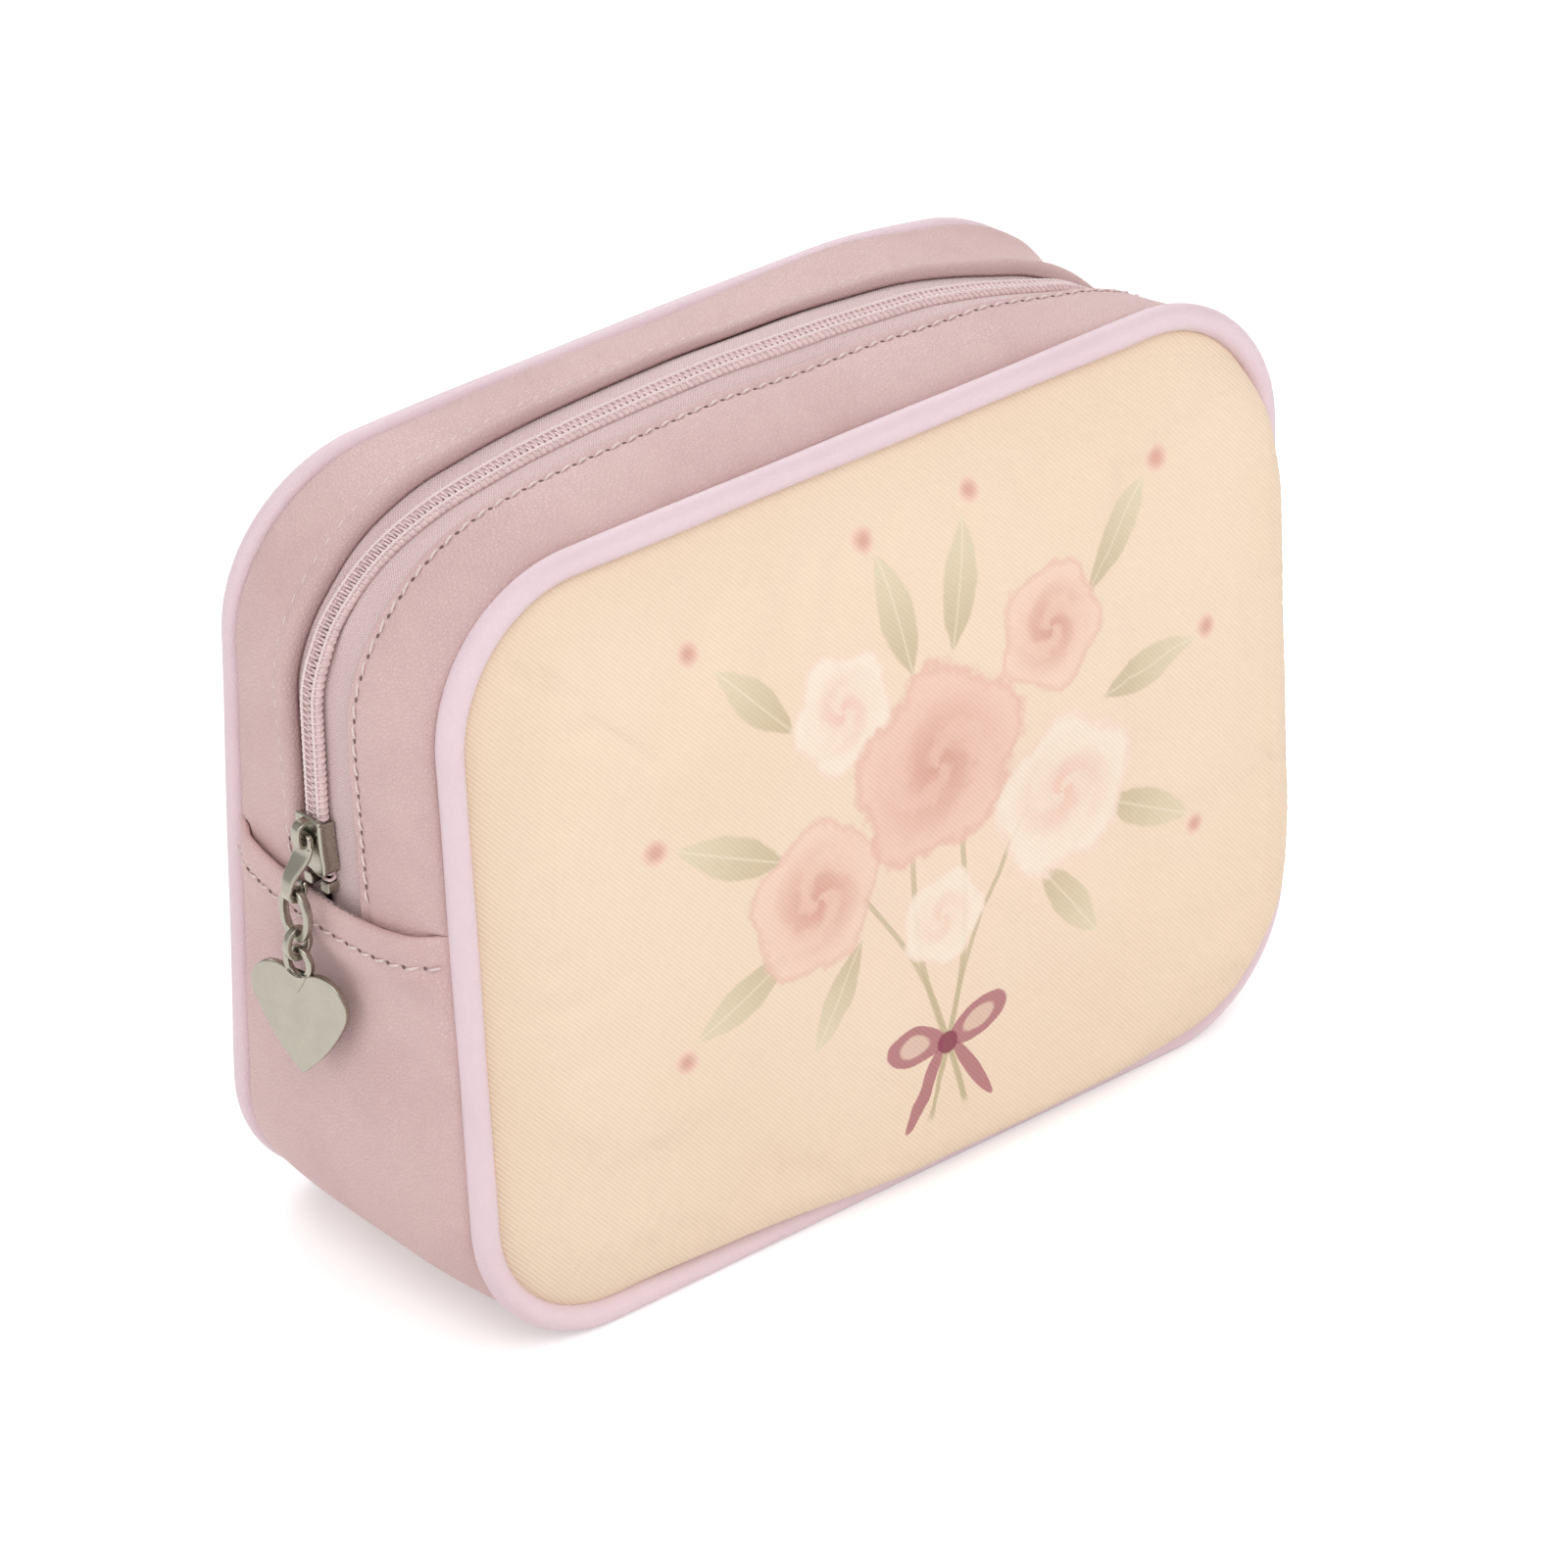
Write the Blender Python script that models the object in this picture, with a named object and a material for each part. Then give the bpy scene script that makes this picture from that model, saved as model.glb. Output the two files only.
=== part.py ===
"""A toiletry bag: two padded panels with piped edges, a zipped gusset and a heart charm.

The bag stands on the XY plane with its front facing -Y. The zip runs up the left
side, over the top and down the right side, and it is closed: its slider hangs at
the lower left end. Every length is in metres.
"""
from math import acos, asin, atan2, cos, hypot, pi, radians, sin, sqrt

import bmesh
import bpy
from mathutils import Matrix, Vector

MM = 0.001

# Overall form
BAG_WIDTH = 210 * MM
BAG_HEIGHT = 166.5 * MM
BASE_DEPTH = 83.6 * MM
TOP_DEPTH = 68.4 * MM
TOP_CORNER_RADIUS = 33 * MM
BASE_CORNER_RADIUS = 32 * MM
CLEARANCE = 0.3 * MM

# Sheet goods
LEATHER = 1.1 * MM
PANEL_CLOTH = 1.0 * MM
PADDING = 3.0 * MM
LINING = 0.4 * MM
BINDING = 0.5 * MM
SKIN_INSET = 1.2 * MM
PANEL_PUFF = 5.0 * MM
SIDE_CROWN = 3.8 * MM
TOP_CROWN = 6.6 * MM
CORNER_CROWN = -0.6 * MM
CORNER_SETTLED = radians(35)
CROWN_FLAT_HALF = 16.4 * MM
SEAM_ROLL = 8.0 * MM
SEAM_ALLOWANCE = 7.0 * MM
BINDING_COVER = 3.0 * MM
LINING_SETBACK = 10.5 * MM

# Piping
PIPING_RADIUS = 2.7 * MM
PIPING_COVER = 0.7 * MM
PIPING_CORD_RADIUS = 1.3 * MM

# Base gusset and its folded ends
FOLD_BELOW_CORNER = 41.5 * MM
FOLD_SMILE = 5 * MM
FOLD_TURN = 8 * MM
FOLD_NOSE = 0.8 * MM
FOLD_EASE = 4.5 * MM
FOLD_SIDE_EASE = 1.2 * MM
BOARD_THICKNESS = 1.5 * MM
BOARD_HALF_DEPTH = 22 * MM
BOARD_END_GAP = 3 * MM
LINING_LAP = 6 * MM

# Zip chain, measured from the middle of the bag's depth
ZIP_OFFSET = 2.0 * MM
BACK_EDGE = 5.1 * MM
FRONT_EDGE = 11.3 * MM
FRONT_EDGE_ROLL = 0.5 * MM
BACK_EDGE_ROLL = 2.3 * MM
BACK_EDGE_RISE = 1.2 * MM
BACK_EDGE_BAND = 4.7 * MM
EDGE_EASE = 4 * MM
TAPE_THICKNESS = 0.6 * MM
TAPE_WIDTH = 14.2 * MM
COIL_WIDTH = 2.7 * MM
COIL_HEIGHT = 2.4 * MM
COIL_HALF_PITCH = 2.4 * MM
COIL_BITE = 0.35 * MM
COIL_RELIEF = 0.35 * MM
STOP_LENGTH = 2.3 * MM
STOP_WIDTH = 2.7 * MM
LINING_ZIP_GAP = 6.4 * MM

# Slider
SLIDER_LENGTH = 12 * MM
SLIDER_ABOVE_FOLD = 5.5 * MM
SLIDER_PLATE = 1.2 * MM
SLIDER_RAIL = 0.7 * MM
SLIDER_EDGE = 0.3 * MM
POST_HALF_WIDTH = 0.75 * MM
POST_LENGTH = 7.2 * MM
ROW_SPREAD = 1.1 * MM
BRIDGE_LENGTH = 5.2 * MM
BRIDGE_HALF_WIDTH = 1.2 * MM
BRIDGE_STRAP = 1.0 * MM
BRIDGE_OPENING = 1.95 * MM

# Puller
PULLER_THICKNESS = 1.3 * MM
PULLER_EYE_HALF_WIDTH = 2.75 * MM
PULLER_REACH = 11.2 * MM
PULLER_TIP_HALF_WIDTH = 1.25 * MM
PULLER_EDGE = 0.24 * MM
BARREL_RADIUS = 2.3 * MM
BARREL_BORE = 1.45 * MM
CHARM_STANDOFF = 6.4 * MM

# Ring, link and charm
RING_HALF_WIDTH = 3.8 * MM
RING_HALF_HEIGHT = 5.2 * MM
RING_BAND = 1.44 * MM
RING_DEPTH = 1.7 * MM
LINK_HALF_WIDTH = 2.5 * MM
LINK_HALF_HEIGHT = 3.0 * MM
LINK_BAND = 1.3 * MM
LINK_DEPTH = 1.7 * MM
CHARM_THICKNESS = 1.5 * MM
CHARM_BEVEL = 0.3 * MM
CHARM_TURN = radians(14)
BAIL_HALF_WIDTH = 2.8 * MM
BAIL_HALF_HEIGHT = 3.1 * MM
BAIL_BAND = 1.4 * MM
BAIL_PLAY = 0.45 * MM
HEART_LOBE_RADIUS = 6.3 * MM
HEART_LOBE_OFFSET = 5.3 * MM
HEART_TIP_DROP = 17 * MM
HEART_SIDE_RADIUS = 42 * MM
HEART_BELOW_BAIL = 4.6 * MM

# Mesh fineness
CORNER_STEPS = 6
LEVEL_STEPS = 2
ARCH_STEPS = 6
SIDE_STEPS = 2
PIPING_STEPS = 6
CORD_SIDES = 5

HALF_WIDTH = BAG_WIDTH / 2
FOLD_HEIGHT = BAG_HEIGHT - TOP_CORNER_RADIUS - FOLD_BELOW_CORNER
LEAN = (BASE_DEPTH - TOP_DEPTH) / 2 / BAG_HEIGHT
FRONT = -1
BACK = 1
LEFT = -1
RIGHT = 1


def clear_scene():
    for item in list(bpy.data.objects):
        bpy.data.objects.remove(item, do_unlink=True)


def material(name, colour, roughness, metallic=0.0):
    made = bpy.data.materials.get(name)
    if made:
        return made
    made = bpy.data.materials.new(name)
    made.use_nodes = True
    shader = made.node_tree.nodes["Principled BSDF"]
    shader.inputs["Base Color"].default_value = (*colour, 1.0)
    shader.inputs["Roughness"].default_value = roughness
    shader.inputs["Metallic"].default_value = metallic
    made.diffuse_color = (*colour, 1.0)
    return made


PINK_LEATHER = ("pink leather", (0.58, 0.41, 0.40), 0.55)
PANEL_TWILL = ("peach twill", (0.86, 0.66, 0.50), 0.85)
PIPING_LEATHER = ("pale pink piping", (0.80, 0.62, 0.70), 0.45)
CORD_FIBRE = ("piping cord", (0.80, 0.78, 0.74), 0.9)
FOAM = ("foam padding", (0.85, 0.84, 0.80), 0.95)
LINING_CLOTH = ("lining cloth", (0.72, 0.62, 0.60), 0.8)
BINDING_CLOTH = ("seam binding", (0.70, 0.56, 0.57), 0.85)
TAPE_CLOTH = ("zip tape", (0.66, 0.47, 0.49), 0.8)
COIL_NYLON = ("zip coil", (0.70, 0.50, 0.53), 0.4)
BOARD_PLASTIC = ("base board", (0.86, 0.86, 0.84), 0.6)
NICKEL = ("brushed nickel", (0.55, 0.52, 0.44), 0.3, 1.0)


def add_object(name, bm, finish, smooth=35):
    """Close a bmesh into a named object with outward faces and its own material."""
    bmesh.ops.recalc_face_normals(bm, faces=bm.faces)
    mesh = bpy.data.meshes.new(name)
    bm.to_mesh(mesh)
    bm.free()
    mesh.shade_smooth()
    mesh.set_sharp_from_angle(angle=radians(smooth))
    made = bpy.data.objects.new(name, mesh)
    bpy.context.collection.objects.link(made)
    mesh.materials.append(material(f"{name} {finish[0]}", *finish[1:]))
    return made


def hide_guide(guide):
    guide.hide_render = True
    guide.display_type = "WIRE"


def boolean(target, guide, operation):
    """Join or cut a target with a guide that stays out of the model."""
    step = target.modifiers.new(f"{operation} {guide.name}", "BOOLEAN")
    step.operation = operation
    step.object = guide
    step.solver = "EXACT"
    hide_guide(guide)


# Stations along the outline of the bag, seen from the front


class Station:
    """A place on the outline: its point and its outward normal in the XZ plane."""

    def __init__(self, x, z, normal_x, normal_z):
        self.x = x
        self.z = z
        self.normal_x = normal_x
        self.normal_z = normal_z

    def inset(self, distance):
        return self.x - self.normal_x * distance, self.z - self.normal_z * distance


def corner(side, top, start, stop, steps=CORNER_STEPS):
    """Stations round one corner, from angle start to angle stop in degrees."""
    radius = TOP_CORNER_RADIUS if top else BASE_CORNER_RADIUS
    centre_x = side * (HALF_WIDTH - radius)
    centre_z = BAG_HEIGHT - radius if top else radius
    made = []
    for step in range(steps + 1):
        angle = radians(start + (stop - start) * step / steps)
        made.append(Station(centre_x + radius * cos(angle), centre_z + radius * sin(angle),
                            cos(angle), sin(angle)))
    return made


def side_stations(side, heights):
    return [Station(side * HALF_WIDTH, height, side, 0) for height in heights]


def level_stations(top, steps=LEVEL_STEPS):
    """Stations between two corners, from left to right along the top or the base."""
    radius = TOP_CORNER_RADIUS if top else BASE_CORNER_RADIUS
    reach = HALF_WIDTH - radius
    height = BAG_HEIGHT if top else 0
    up = 1 if top else -1
    return [Station(-reach + 2 * reach * step / steps, height, 0, up) for step in range(1, steps)]


def spaced(low, high, steps):
    """Heights strictly between two ends."""
    return [low + (high - low) * step / steps for step in range(1, steps)]


def arch_path(heights, level_steps=ARCH_STEPS, corner_steps=CORNER_STEPS):
    """Up the left side from given heights, over the top and down the right side."""
    return (side_stations(LEFT, heights)
            + corner(LEFT, True, 180, 90, corner_steps)
            + level_stations(True, level_steps)
            + corner(RIGHT, True, 90, 0, corner_steps)
            + side_stations(RIGHT, heights[::-1]))


def cradle_path(heights):
    """Down the left side from given heights, along the base and up the right side."""
    return (side_stations(LEFT, heights)
            + corner(LEFT, False, 180, 270)
            + level_stations(False)
            + corner(RIGHT, False, 270, 360)
            + side_stations(RIGHT, heights[::-1]))


def loop_path():
    """The whole outline, once round."""
    side_heights = spaced(BASE_CORNER_RADIUS, BAG_HEIGHT - TOP_CORNER_RADIUS, SIDE_STEPS)
    return (side_stations(LEFT, side_heights)
            + corner(LEFT, True, 180, 90)
            + level_stations(True)
            + corner(RIGHT, True, 90, 0)
            + side_stations(RIGHT, side_heights[::-1])
            + corner(RIGHT, False, 360, 270)
            + level_stations(False)[::-1]
            + corner(LEFT, False, 270, 180))


def half_depth(height):
    """Distance from the middle of the bag to the outside of its piping."""
    return BASE_DEPTH / 2 - LEAN * height


def seam_point(station, face, inset, setback):
    """A point given by its inset from the outline and its setback from a face."""
    x, z = station.inset(inset)
    return Vector((x, face * (half_depth(z) - setback), z))


def eased(share):
    """A share from 0 to 1 that starts and ends smoothly."""
    share = min(share, 1)
    return share * share * (3 - 2 * share)


def crown(station):
    """How far the gusset stands out in its middle at a station."""
    if station.normal_z <= 0:
        fall = eased(-station.normal_z)
        return SIDE_CROWN + (SKIN_INSET - SIDE_CROWN) * fall
    if station.normal_z < 1:
        settled = eased(station.normal_z / sin(CORNER_SETTLED))
        return SIDE_CROWN + (CORNER_CROWN - SIDE_CROWN) * settled
    across = station.x / (HALF_WIDTH - TOP_CORNER_RADIUS)
    return TOP_CROWN + (CORNER_CROWN - TOP_CROWN) * across * across


def skin_depth(station, y):
    """Inset of the gusset's outer surface from the outline, across the depth."""
    edge = half_depth(station.z) - SEAM_ROLL
    beyond = max(abs(y) - CROWN_FLAT_HALF, 0) / (edge - CROWN_FLAT_HALF)
    return SKIN_INSET - crown(station) * max(1 - beyond * beyond, 0)


def skin_point(station, y, depth, rise=0):
    """A point at a depth under the gusset's outer surface."""
    x, z = station.inset(skin_depth(station, y) + depth)
    return Vector((x, y, z + rise))


def sweep(name, path, section, finish, closed=False):
    """Join one section for each station of a path into a solid."""
    bm = bmesh.new()
    rings = [[bm.verts.new(point) for point in section(station)] for station in path]
    count = len(rings[0])
    spans = len(rings) if closed else len(rings) - 1
    for index in range(spans):
        ring = rings[index]
        following = rings[(index + 1) % len(rings)]
        for side in range(count):
            after = (side + 1) % count
            bm.faces.new((ring[side], ring[after], following[after], following[side]))
    if not closed:
        bm.faces.new(rings[0])
        bm.faces.new(rings[-1])
    return add_object(name, bm, finish)


def disc(name, rings, centres, finish):
    """Join closed rings, and close the first and last ring onto centre points."""
    bm = bmesh.new()
    made = [[bm.verts.new(point) for point in ring] for ring in rings]
    count = len(made[0])
    for ring, following in zip(made, made[1:]):
        for side in range(count):
            after = (side + 1) % count
            bm.faces.new((ring[side], ring[after], following[after], following[side]))
    for ring, centre in ((made[0], centres[0]), (made[-1], centres[1])):
        tip = bm.verts.new(centre)
        for side in range(count):
            bm.faces.new((ring[side], ring[(side + 1) % count], tip))
    return add_object(name, bm, finish)


# The piped seam, in axes along its flange and across it


FLANGE_HALF = PIPING_COVER + CLEARANCE / 2
ALLOWANCE_NEAR = FLANGE_HALF + CLEARANCE
ALLOWANCE_END = PIPING_RADIUS + SEAM_ALLOWANCE
ROOT_RADIUS = PIPING_RADIUS + CLEARANCE
ALLOWANCE_ROOT = sqrt(ROOT_RADIUS ** 2 - ALLOWANCE_NEAR ** 2)
ROLL_SHARES = (0.05, 0.62, 0.8)


def flange_axes(along, across):
    """Inset and setback of a point given along and across the seam's flange."""
    return (PIPING_RADIUS + (along - across) / sqrt(2),
            PIPING_RADIUS + (along + across) / sqrt(2))


def seam_allowance(thickness):
    """Outer and inner points of a sheet that turns in at the seam, as inset and setback.

    They start at the tip of the allowance and end where the sheet lies flat.
    """
    far = ALLOWANCE_NEAR + thickness
    hug_angle = radians(98)
    hug = (PIPING_RADIUS + ROOT_RADIUS * cos(hug_angle),
           PIPING_RADIUS + ROOT_RADIUS * sin(hug_angle))
    outer = [flange_axes(ALLOWANCE_END, ALLOWANCE_NEAR),
             flange_axes(ALLOWANCE_ROOT, ALLOWANCE_NEAR),
             hug,
             (SKIN_INSET + ROLL_SHARES[0] * SEAM_ROLL, ROLL_SHARES[2] * SEAM_ROLL),
             (SKIN_INSET, SEAM_ROLL)]
    inner = [flange_axes(ALLOWANCE_END, far),
             flange_axes(ALLOWANCE_ROOT + ROLL_SHARES[1] * thickness, far),
             (SKIN_INSET + thickness, SEAM_ROLL + ROLL_SHARES[1] * thickness)]
    return outer, inner


def mirror_seam(points):
    """Swap inset and setback, which takes a point from the gusset's side to the panel's."""
    return [(setback, inset) for inset, setback in points]


def make_piping(label, face):
    """The folded cover with its flange, and the cord inside it."""
    outer_start = asin(FLANGE_HALF / PIPING_RADIUS)
    bore = PIPING_RADIUS - PIPING_COVER
    bore_start = asin(CLEARANCE / 2 / bore)
    profile = []
    for step in range(PIPING_STEPS + 1):
        angle = outer_start + (2 * pi - 2 * outer_start) * step / PIPING_STEPS
        profile.append((PIPING_RADIUS * cos(angle), PIPING_RADIUS * sin(angle)))
    profile += [(ALLOWANCE_END, -FLANGE_HALF), (ALLOWANCE_END, -CLEARANCE / 2)]
    for step in range(CORD_SIDES + 1):
        angle = -bore_start - (2 * pi - 2 * bore_start) * step / CORD_SIDES
        profile.append((bore * cos(angle), bore * sin(angle)))
    profile += [(ALLOWANCE_END, CLEARANCE / 2), (ALLOWANCE_END, FLANGE_HALF)]
    cord = []
    for step in range(CORD_SIDES):
        angle = 2 * pi * step / CORD_SIDES
        cord.append((PIPING_CORD_RADIUS * cos(angle), PIPING_CORD_RADIUS * sin(angle)))

    def swept(points):
        return lambda station: [seam_point(station, face, *flange_axes(*point))
                                for point in points]

    sweep(f"{label}_piping_cover", loop_path(), swept(profile), PIPING_LEATHER, closed=True)
    sweep(f"{label}_piping_cord", loop_path(), swept(cord), CORD_FIBRE, closed=True)


def make_binding(label, face):
    """The tape folded over the raw edges of the seam inside the bag."""
    inner = ALLOWANCE_NEAR + LEATHER + CLEARANCE
    outer = inner + BINDING
    start = ALLOWANCE_END - BINDING_COVER
    inner_end = ALLOWANCE_END + CLEARANCE
    outer_end = inner_end + BINDING
    profile = [(start, outer), (outer_end, outer), (outer_end, -outer), (start, -outer),
               (start, -inner), (inner_end, -inner), (inner_end, inner), (start, inner)]
    sweep(f"{label}_seam_binding", loop_path(),
          lambda station: [seam_point(station, face, *flange_axes(*point)) for point in profile],
          BINDING_CLOTH, closed=True)


# Panels, which share one family of rings scaled towards the middle


PANEL_RING_SHARES = (0.5, 0.86)
LAYER_RING_SHARES = (0.55, 0.955)


def panel_point(station, face, share, setback, puff):
    """A point of a panel layer at a share of the way out from its middle."""
    rim_x, rim_z = station.inset(SEAM_ROLL)
    middle = BAG_HEIGHT / 2
    x = rim_x * share
    z = middle + (rim_z - middle) * share
    rise = puff * (1 - share * share)
    return Vector((x, face * (half_depth(z) - setback + rise), z))


def panel_centre(face, setback, puff):
    middle = BAG_HEIGHT / 2
    return Vector((0, face * (half_depth(middle) - setback + puff), middle))


def make_cover_panel(name, face, finish):
    """The visible panel, with its edge turned into the piped seam."""
    path = loop_path()
    outer, inner = seam_allowance(PANEL_CLOTH)
    rings = [[panel_point(station, face, share, SKIN_INSET, PANEL_PUFF) for station in path]
             for share in PANEL_RING_SHARES]
    for inset, setback in mirror_seam(outer[::-1] + inner):
        rings.append([seam_point(station, face, inset, setback) for station in path])
    back = SKIN_INSET + PANEL_CLOTH
    rings += [[panel_point(station, face, share, back, PANEL_PUFF) for station in path]
              for share in PANEL_RING_SHARES[::-1]]
    centres = [panel_centre(face, SKIN_INSET, PANEL_PUFF), panel_centre(face, back, PANEL_PUFF)]
    disc(name, rings, centres, finish)


def make_layer(name, face, start, thickness, finish):
    """A padding or lining layer behind the panel, inside the seam binding."""
    path = loop_path()
    rings = [[panel_point(station, face, share, start, PANEL_PUFF) for station in path]
             for share in LAYER_RING_SHARES]
    rings += [[panel_point(station, face, share, start + thickness, PANEL_PUFF)
               for station in path] for share in LAYER_RING_SHARES[::-1]]
    centres = [panel_centre(face, start, PANEL_PUFF),
               panel_centre(face, start + thickness, PANEL_PUFF)]
    disc(name, rings, centres, finish)


def make_panel_set(label, face, finish):
    padding_start = SKIN_INSET + PANEL_CLOTH + CLEARANCE
    lining_start = padding_start + PADDING + CLEARANCE
    make_cover_panel(f"{label}_panel", face, finish)
    make_layer(f"{label}_padding", face, padding_start, PADDING, FOAM)
    make_layer(f"{label}_lining", face, lining_start, LINING, LINING_CLOTH)


# Gusset strips beside the zip


STRIP_END = FOLD_HEIGHT - FOLD_TURN
FOLD_TOP = FOLD_HEIGHT + FOLD_SMILE
CUT_SETBACK = SEAM_ROLL + LEATHER + CLEARANCE
ROLLED_EDGE_SHARES = ((0.25, 0.75), (1, 1))


def strip_section(station, face, edge_outer, edge_inner):
    """A strip from its zip edge, over the crown, into the seam and back inside."""
    y_crown = (half_depth(station.z) - SEAM_ROLL + CROWN_FLAT_HALF) / 2
    outer, inner = seam_allowance(LEATHER)
    points = [skin_point(station, y, depth) for y, depth in edge_outer]
    points += [skin_point(station, face * y, 0) for y in (CROWN_FLAT_HALF, y_crown)]
    points += [seam_point(station, face, *place) for place in outer[::-1] + inner]
    points += [skin_point(station, face * y, LEATHER) for y in (y_crown, CROWN_FLAT_HALF)]
    points += [skin_point(station, y, depth) for y, depth in edge_inner]
    return points


def make_strip(label, face, edge_outer, edge_inner):
    """A strip whose hidden ends are cut back from the seam, where the base gusset is sewn in."""
    top = FOLD_TOP + CLEARANCE
    heights = [STRIP_END, top, top + EDGE_EASE]
    heights += spaced(top + EDGE_EASE, BAG_HEIGHT - TOP_CORNER_RADIUS, SIDE_STEPS)

    def section(station):
        flat = station.normal_z == 0 and station.z <= top
        outer = [(y, max(depth, 0)) if flat else (y, depth) for y, depth in edge_outer]
        return strip_section(station, face, outer, edge_inner)

    strip = sweep(f"{label}_gusset_strip", arch_path(heights), section, PINK_LEATHER)
    near = half_depth(top) - CUT_SETBACK
    under = HALF_WIDTH - SKIN_INSET - LEATHER - CLEARANCE / 2
    for side in (LEFT, RIGHT):
        ends = [(side * (HALF_WIDTH - 2 * SEAM_ROLL), face * (near - 2 * LEATHER)),
                (side * under, face * (near - 2 * LEATHER)),
                (side * under, face * near),
                (side * (HALF_WIDTH + SEAM_ROLL), face * near),
                (side * (HALF_WIDTH + SEAM_ROLL), face * BASE_DEPTH),
                (side * (HALF_WIDTH - 2 * SEAM_ROLL), face * BASE_DEPTH)]
        cutter = add_prism(f"{label} strip end cutter", ends, 0, top, Matrix.Identity(4),
                           PINK_LEATHER)
        boolean(strip, cutter, "DIFFERENCE")


def make_front_strip():
    edge = ZIP_OFFSET - FRONT_EDGE
    outer = [(edge, LEATHER / 2), (edge - FRONT_EDGE_ROLL, -FRONT_EDGE_ROLL / 2)]
    inner = [(edge - FRONT_EDGE_ROLL, LEATHER)]
    make_strip("front", FRONT, outer, inner)


def make_back_strip():
    edge = ZIP_OFFSET + BACK_EDGE
    outer = [(edge, LEATHER / 3)]
    outer += [(edge + BACK_EDGE_ROLL * across, -BACK_EDGE_RISE * rise)
              for across, rise in ROLLED_EDGE_SHARES]
    outer.append((edge + BACK_EDGE_BAND, -BACK_EDGE_RISE / 3))
    inner = [(edge + BACK_EDGE_ROLL * ROLLED_EDGE_SHARES[0][0], LEATHER)]
    make_strip("back", BACK, outer, inner)


# Base gusset


NOSE_PINCH_SHARE = 0.3


def fold_share(height):
    """How fully the base gusset is raised over the strips: 1 in the folded end, 0 below."""
    low = STRIP_END - CLEARANCE - FOLD_EASE
    share = (height - low) / FOLD_EASE
    return min(max(share, 0), 1)


def base_section(station, nose):
    """The base gusset's section; nose is 1 on the very edge of a folded end."""
    raised = fold_share(station.z) if station.normal_z == 0 else 0
    thickness = LEATHER * (1 + raised)
    lift = raised * (thickness + CLEARANCE)
    outer_allowance, inner_allowance = seam_allowance(LEATHER)
    y_seam = half_depth(station.z) - SEAM_ROLL
    y_flat = y_seam - FOLD_SIDE_EASE
    y_crown = (y_flat + CROWN_FLAT_HALF) / 2
    across = [y_flat, y_crown, CROWN_FLAT_HALF, 0, -CROWN_FLAT_HALF, -y_crown, -y_flat]
    pinch = nose * thickness * NOSE_PINCH_SHARE

    def smile(point):
        if station.z >= FOLD_HEIGHT - FOLD_NOSE:
            share = min(abs(point.y) / half_depth(station.z), 1)
            point.z += FOLD_SMILE * share * share
        return point

    points = [seam_point(station, BACK, *place) for place in outer_allowance]
    points += [skin_point(station, y, pinch - lift) for y in across]
    points += [seam_point(station, FRONT, *place) for place in outer_allowance[::-1]]
    points += [seam_point(station, FRONT, *place) for place in inner_allowance]
    points += [skin_point(station, y, thickness - lift - pinch) for y in across[::-1]]
    points += [seam_point(station, BACK, *place) for place in inner_allowance[::-1]]
    return [smile(point) for point in points]


def make_base_gusset():
    heights = [FOLD_HEIGHT, FOLD_HEIGHT - FOLD_NOSE, STRIP_END - CLEARANCE,
               STRIP_END - CLEARANCE - FOLD_EASE]
    heights += spaced(BASE_CORNER_RADIUS, heights[-1], SIDE_STEPS)[::-1]
    sweep("base_gusset", cradle_path(heights),
          lambda station: base_section(station, station.z == FOLD_HEIGHT), PINK_LEATHER)


def make_base_board():
    """The flat board that keeps the base level."""
    base = Station(0, 0, 0, -1)
    low = skin_depth(base, BOARD_HALF_DEPTH) + LEATHER + CLEARANCE
    reach = HALF_WIDTH - BASE_CORNER_RADIUS - BOARD_END_GAP
    nip = BOARD_THICKNESS
    outline = [(-reach, -BOARD_HALF_DEPTH + nip), (-reach + nip, -BOARD_HALF_DEPTH),
               (reach - nip, -BOARD_HALF_DEPTH), (reach, -BOARD_HALF_DEPTH + nip),
               (reach, BOARD_HALF_DEPTH - nip), (reach - nip, BOARD_HALF_DEPTH),
               (-reach + nip, BOARD_HALF_DEPTH), (-reach, BOARD_HALF_DEPTH - nip)]
    add_prism("base_stiffener", outline, low, low + BOARD_THICKNESS, Matrix.Identity(4),
              BOARD_PLASTIC)
    return low + BOARD_THICKNESS


def add_prism(name, outline, low, high, frame, finish, bevel=0, rounds=2):
    """Raise an outline from one level to another in a given frame."""
    bm = bmesh.new()
    levels = [[bm.verts.new(frame @ Vector((u, v, level))) for u, v in outline]
              for level in (low, high)]
    count = len(outline)
    for side in range(count):
        after = (side + 1) % count
        bm.faces.new((levels[0][side], levels[0][after], levels[1][after], levels[1][side]))
    bm.faces.new(levels[0])
    bm.faces.new(levels[1])
    made = add_object(name, bm, finish, smooth=30)
    if bevel:
        edge = made.modifiers.new("eased edges", "BEVEL")
        edge.width = bevel
        edge.segments = rounds
        edge.limit_method = "ANGLE"
        edge.angle_limit = radians(40)
    return made


# Linings of the gusset


UPPER_LINING_DEPTH = LEATHER + TAPE_THICKNESS + 2 * CLEARANCE


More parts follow.
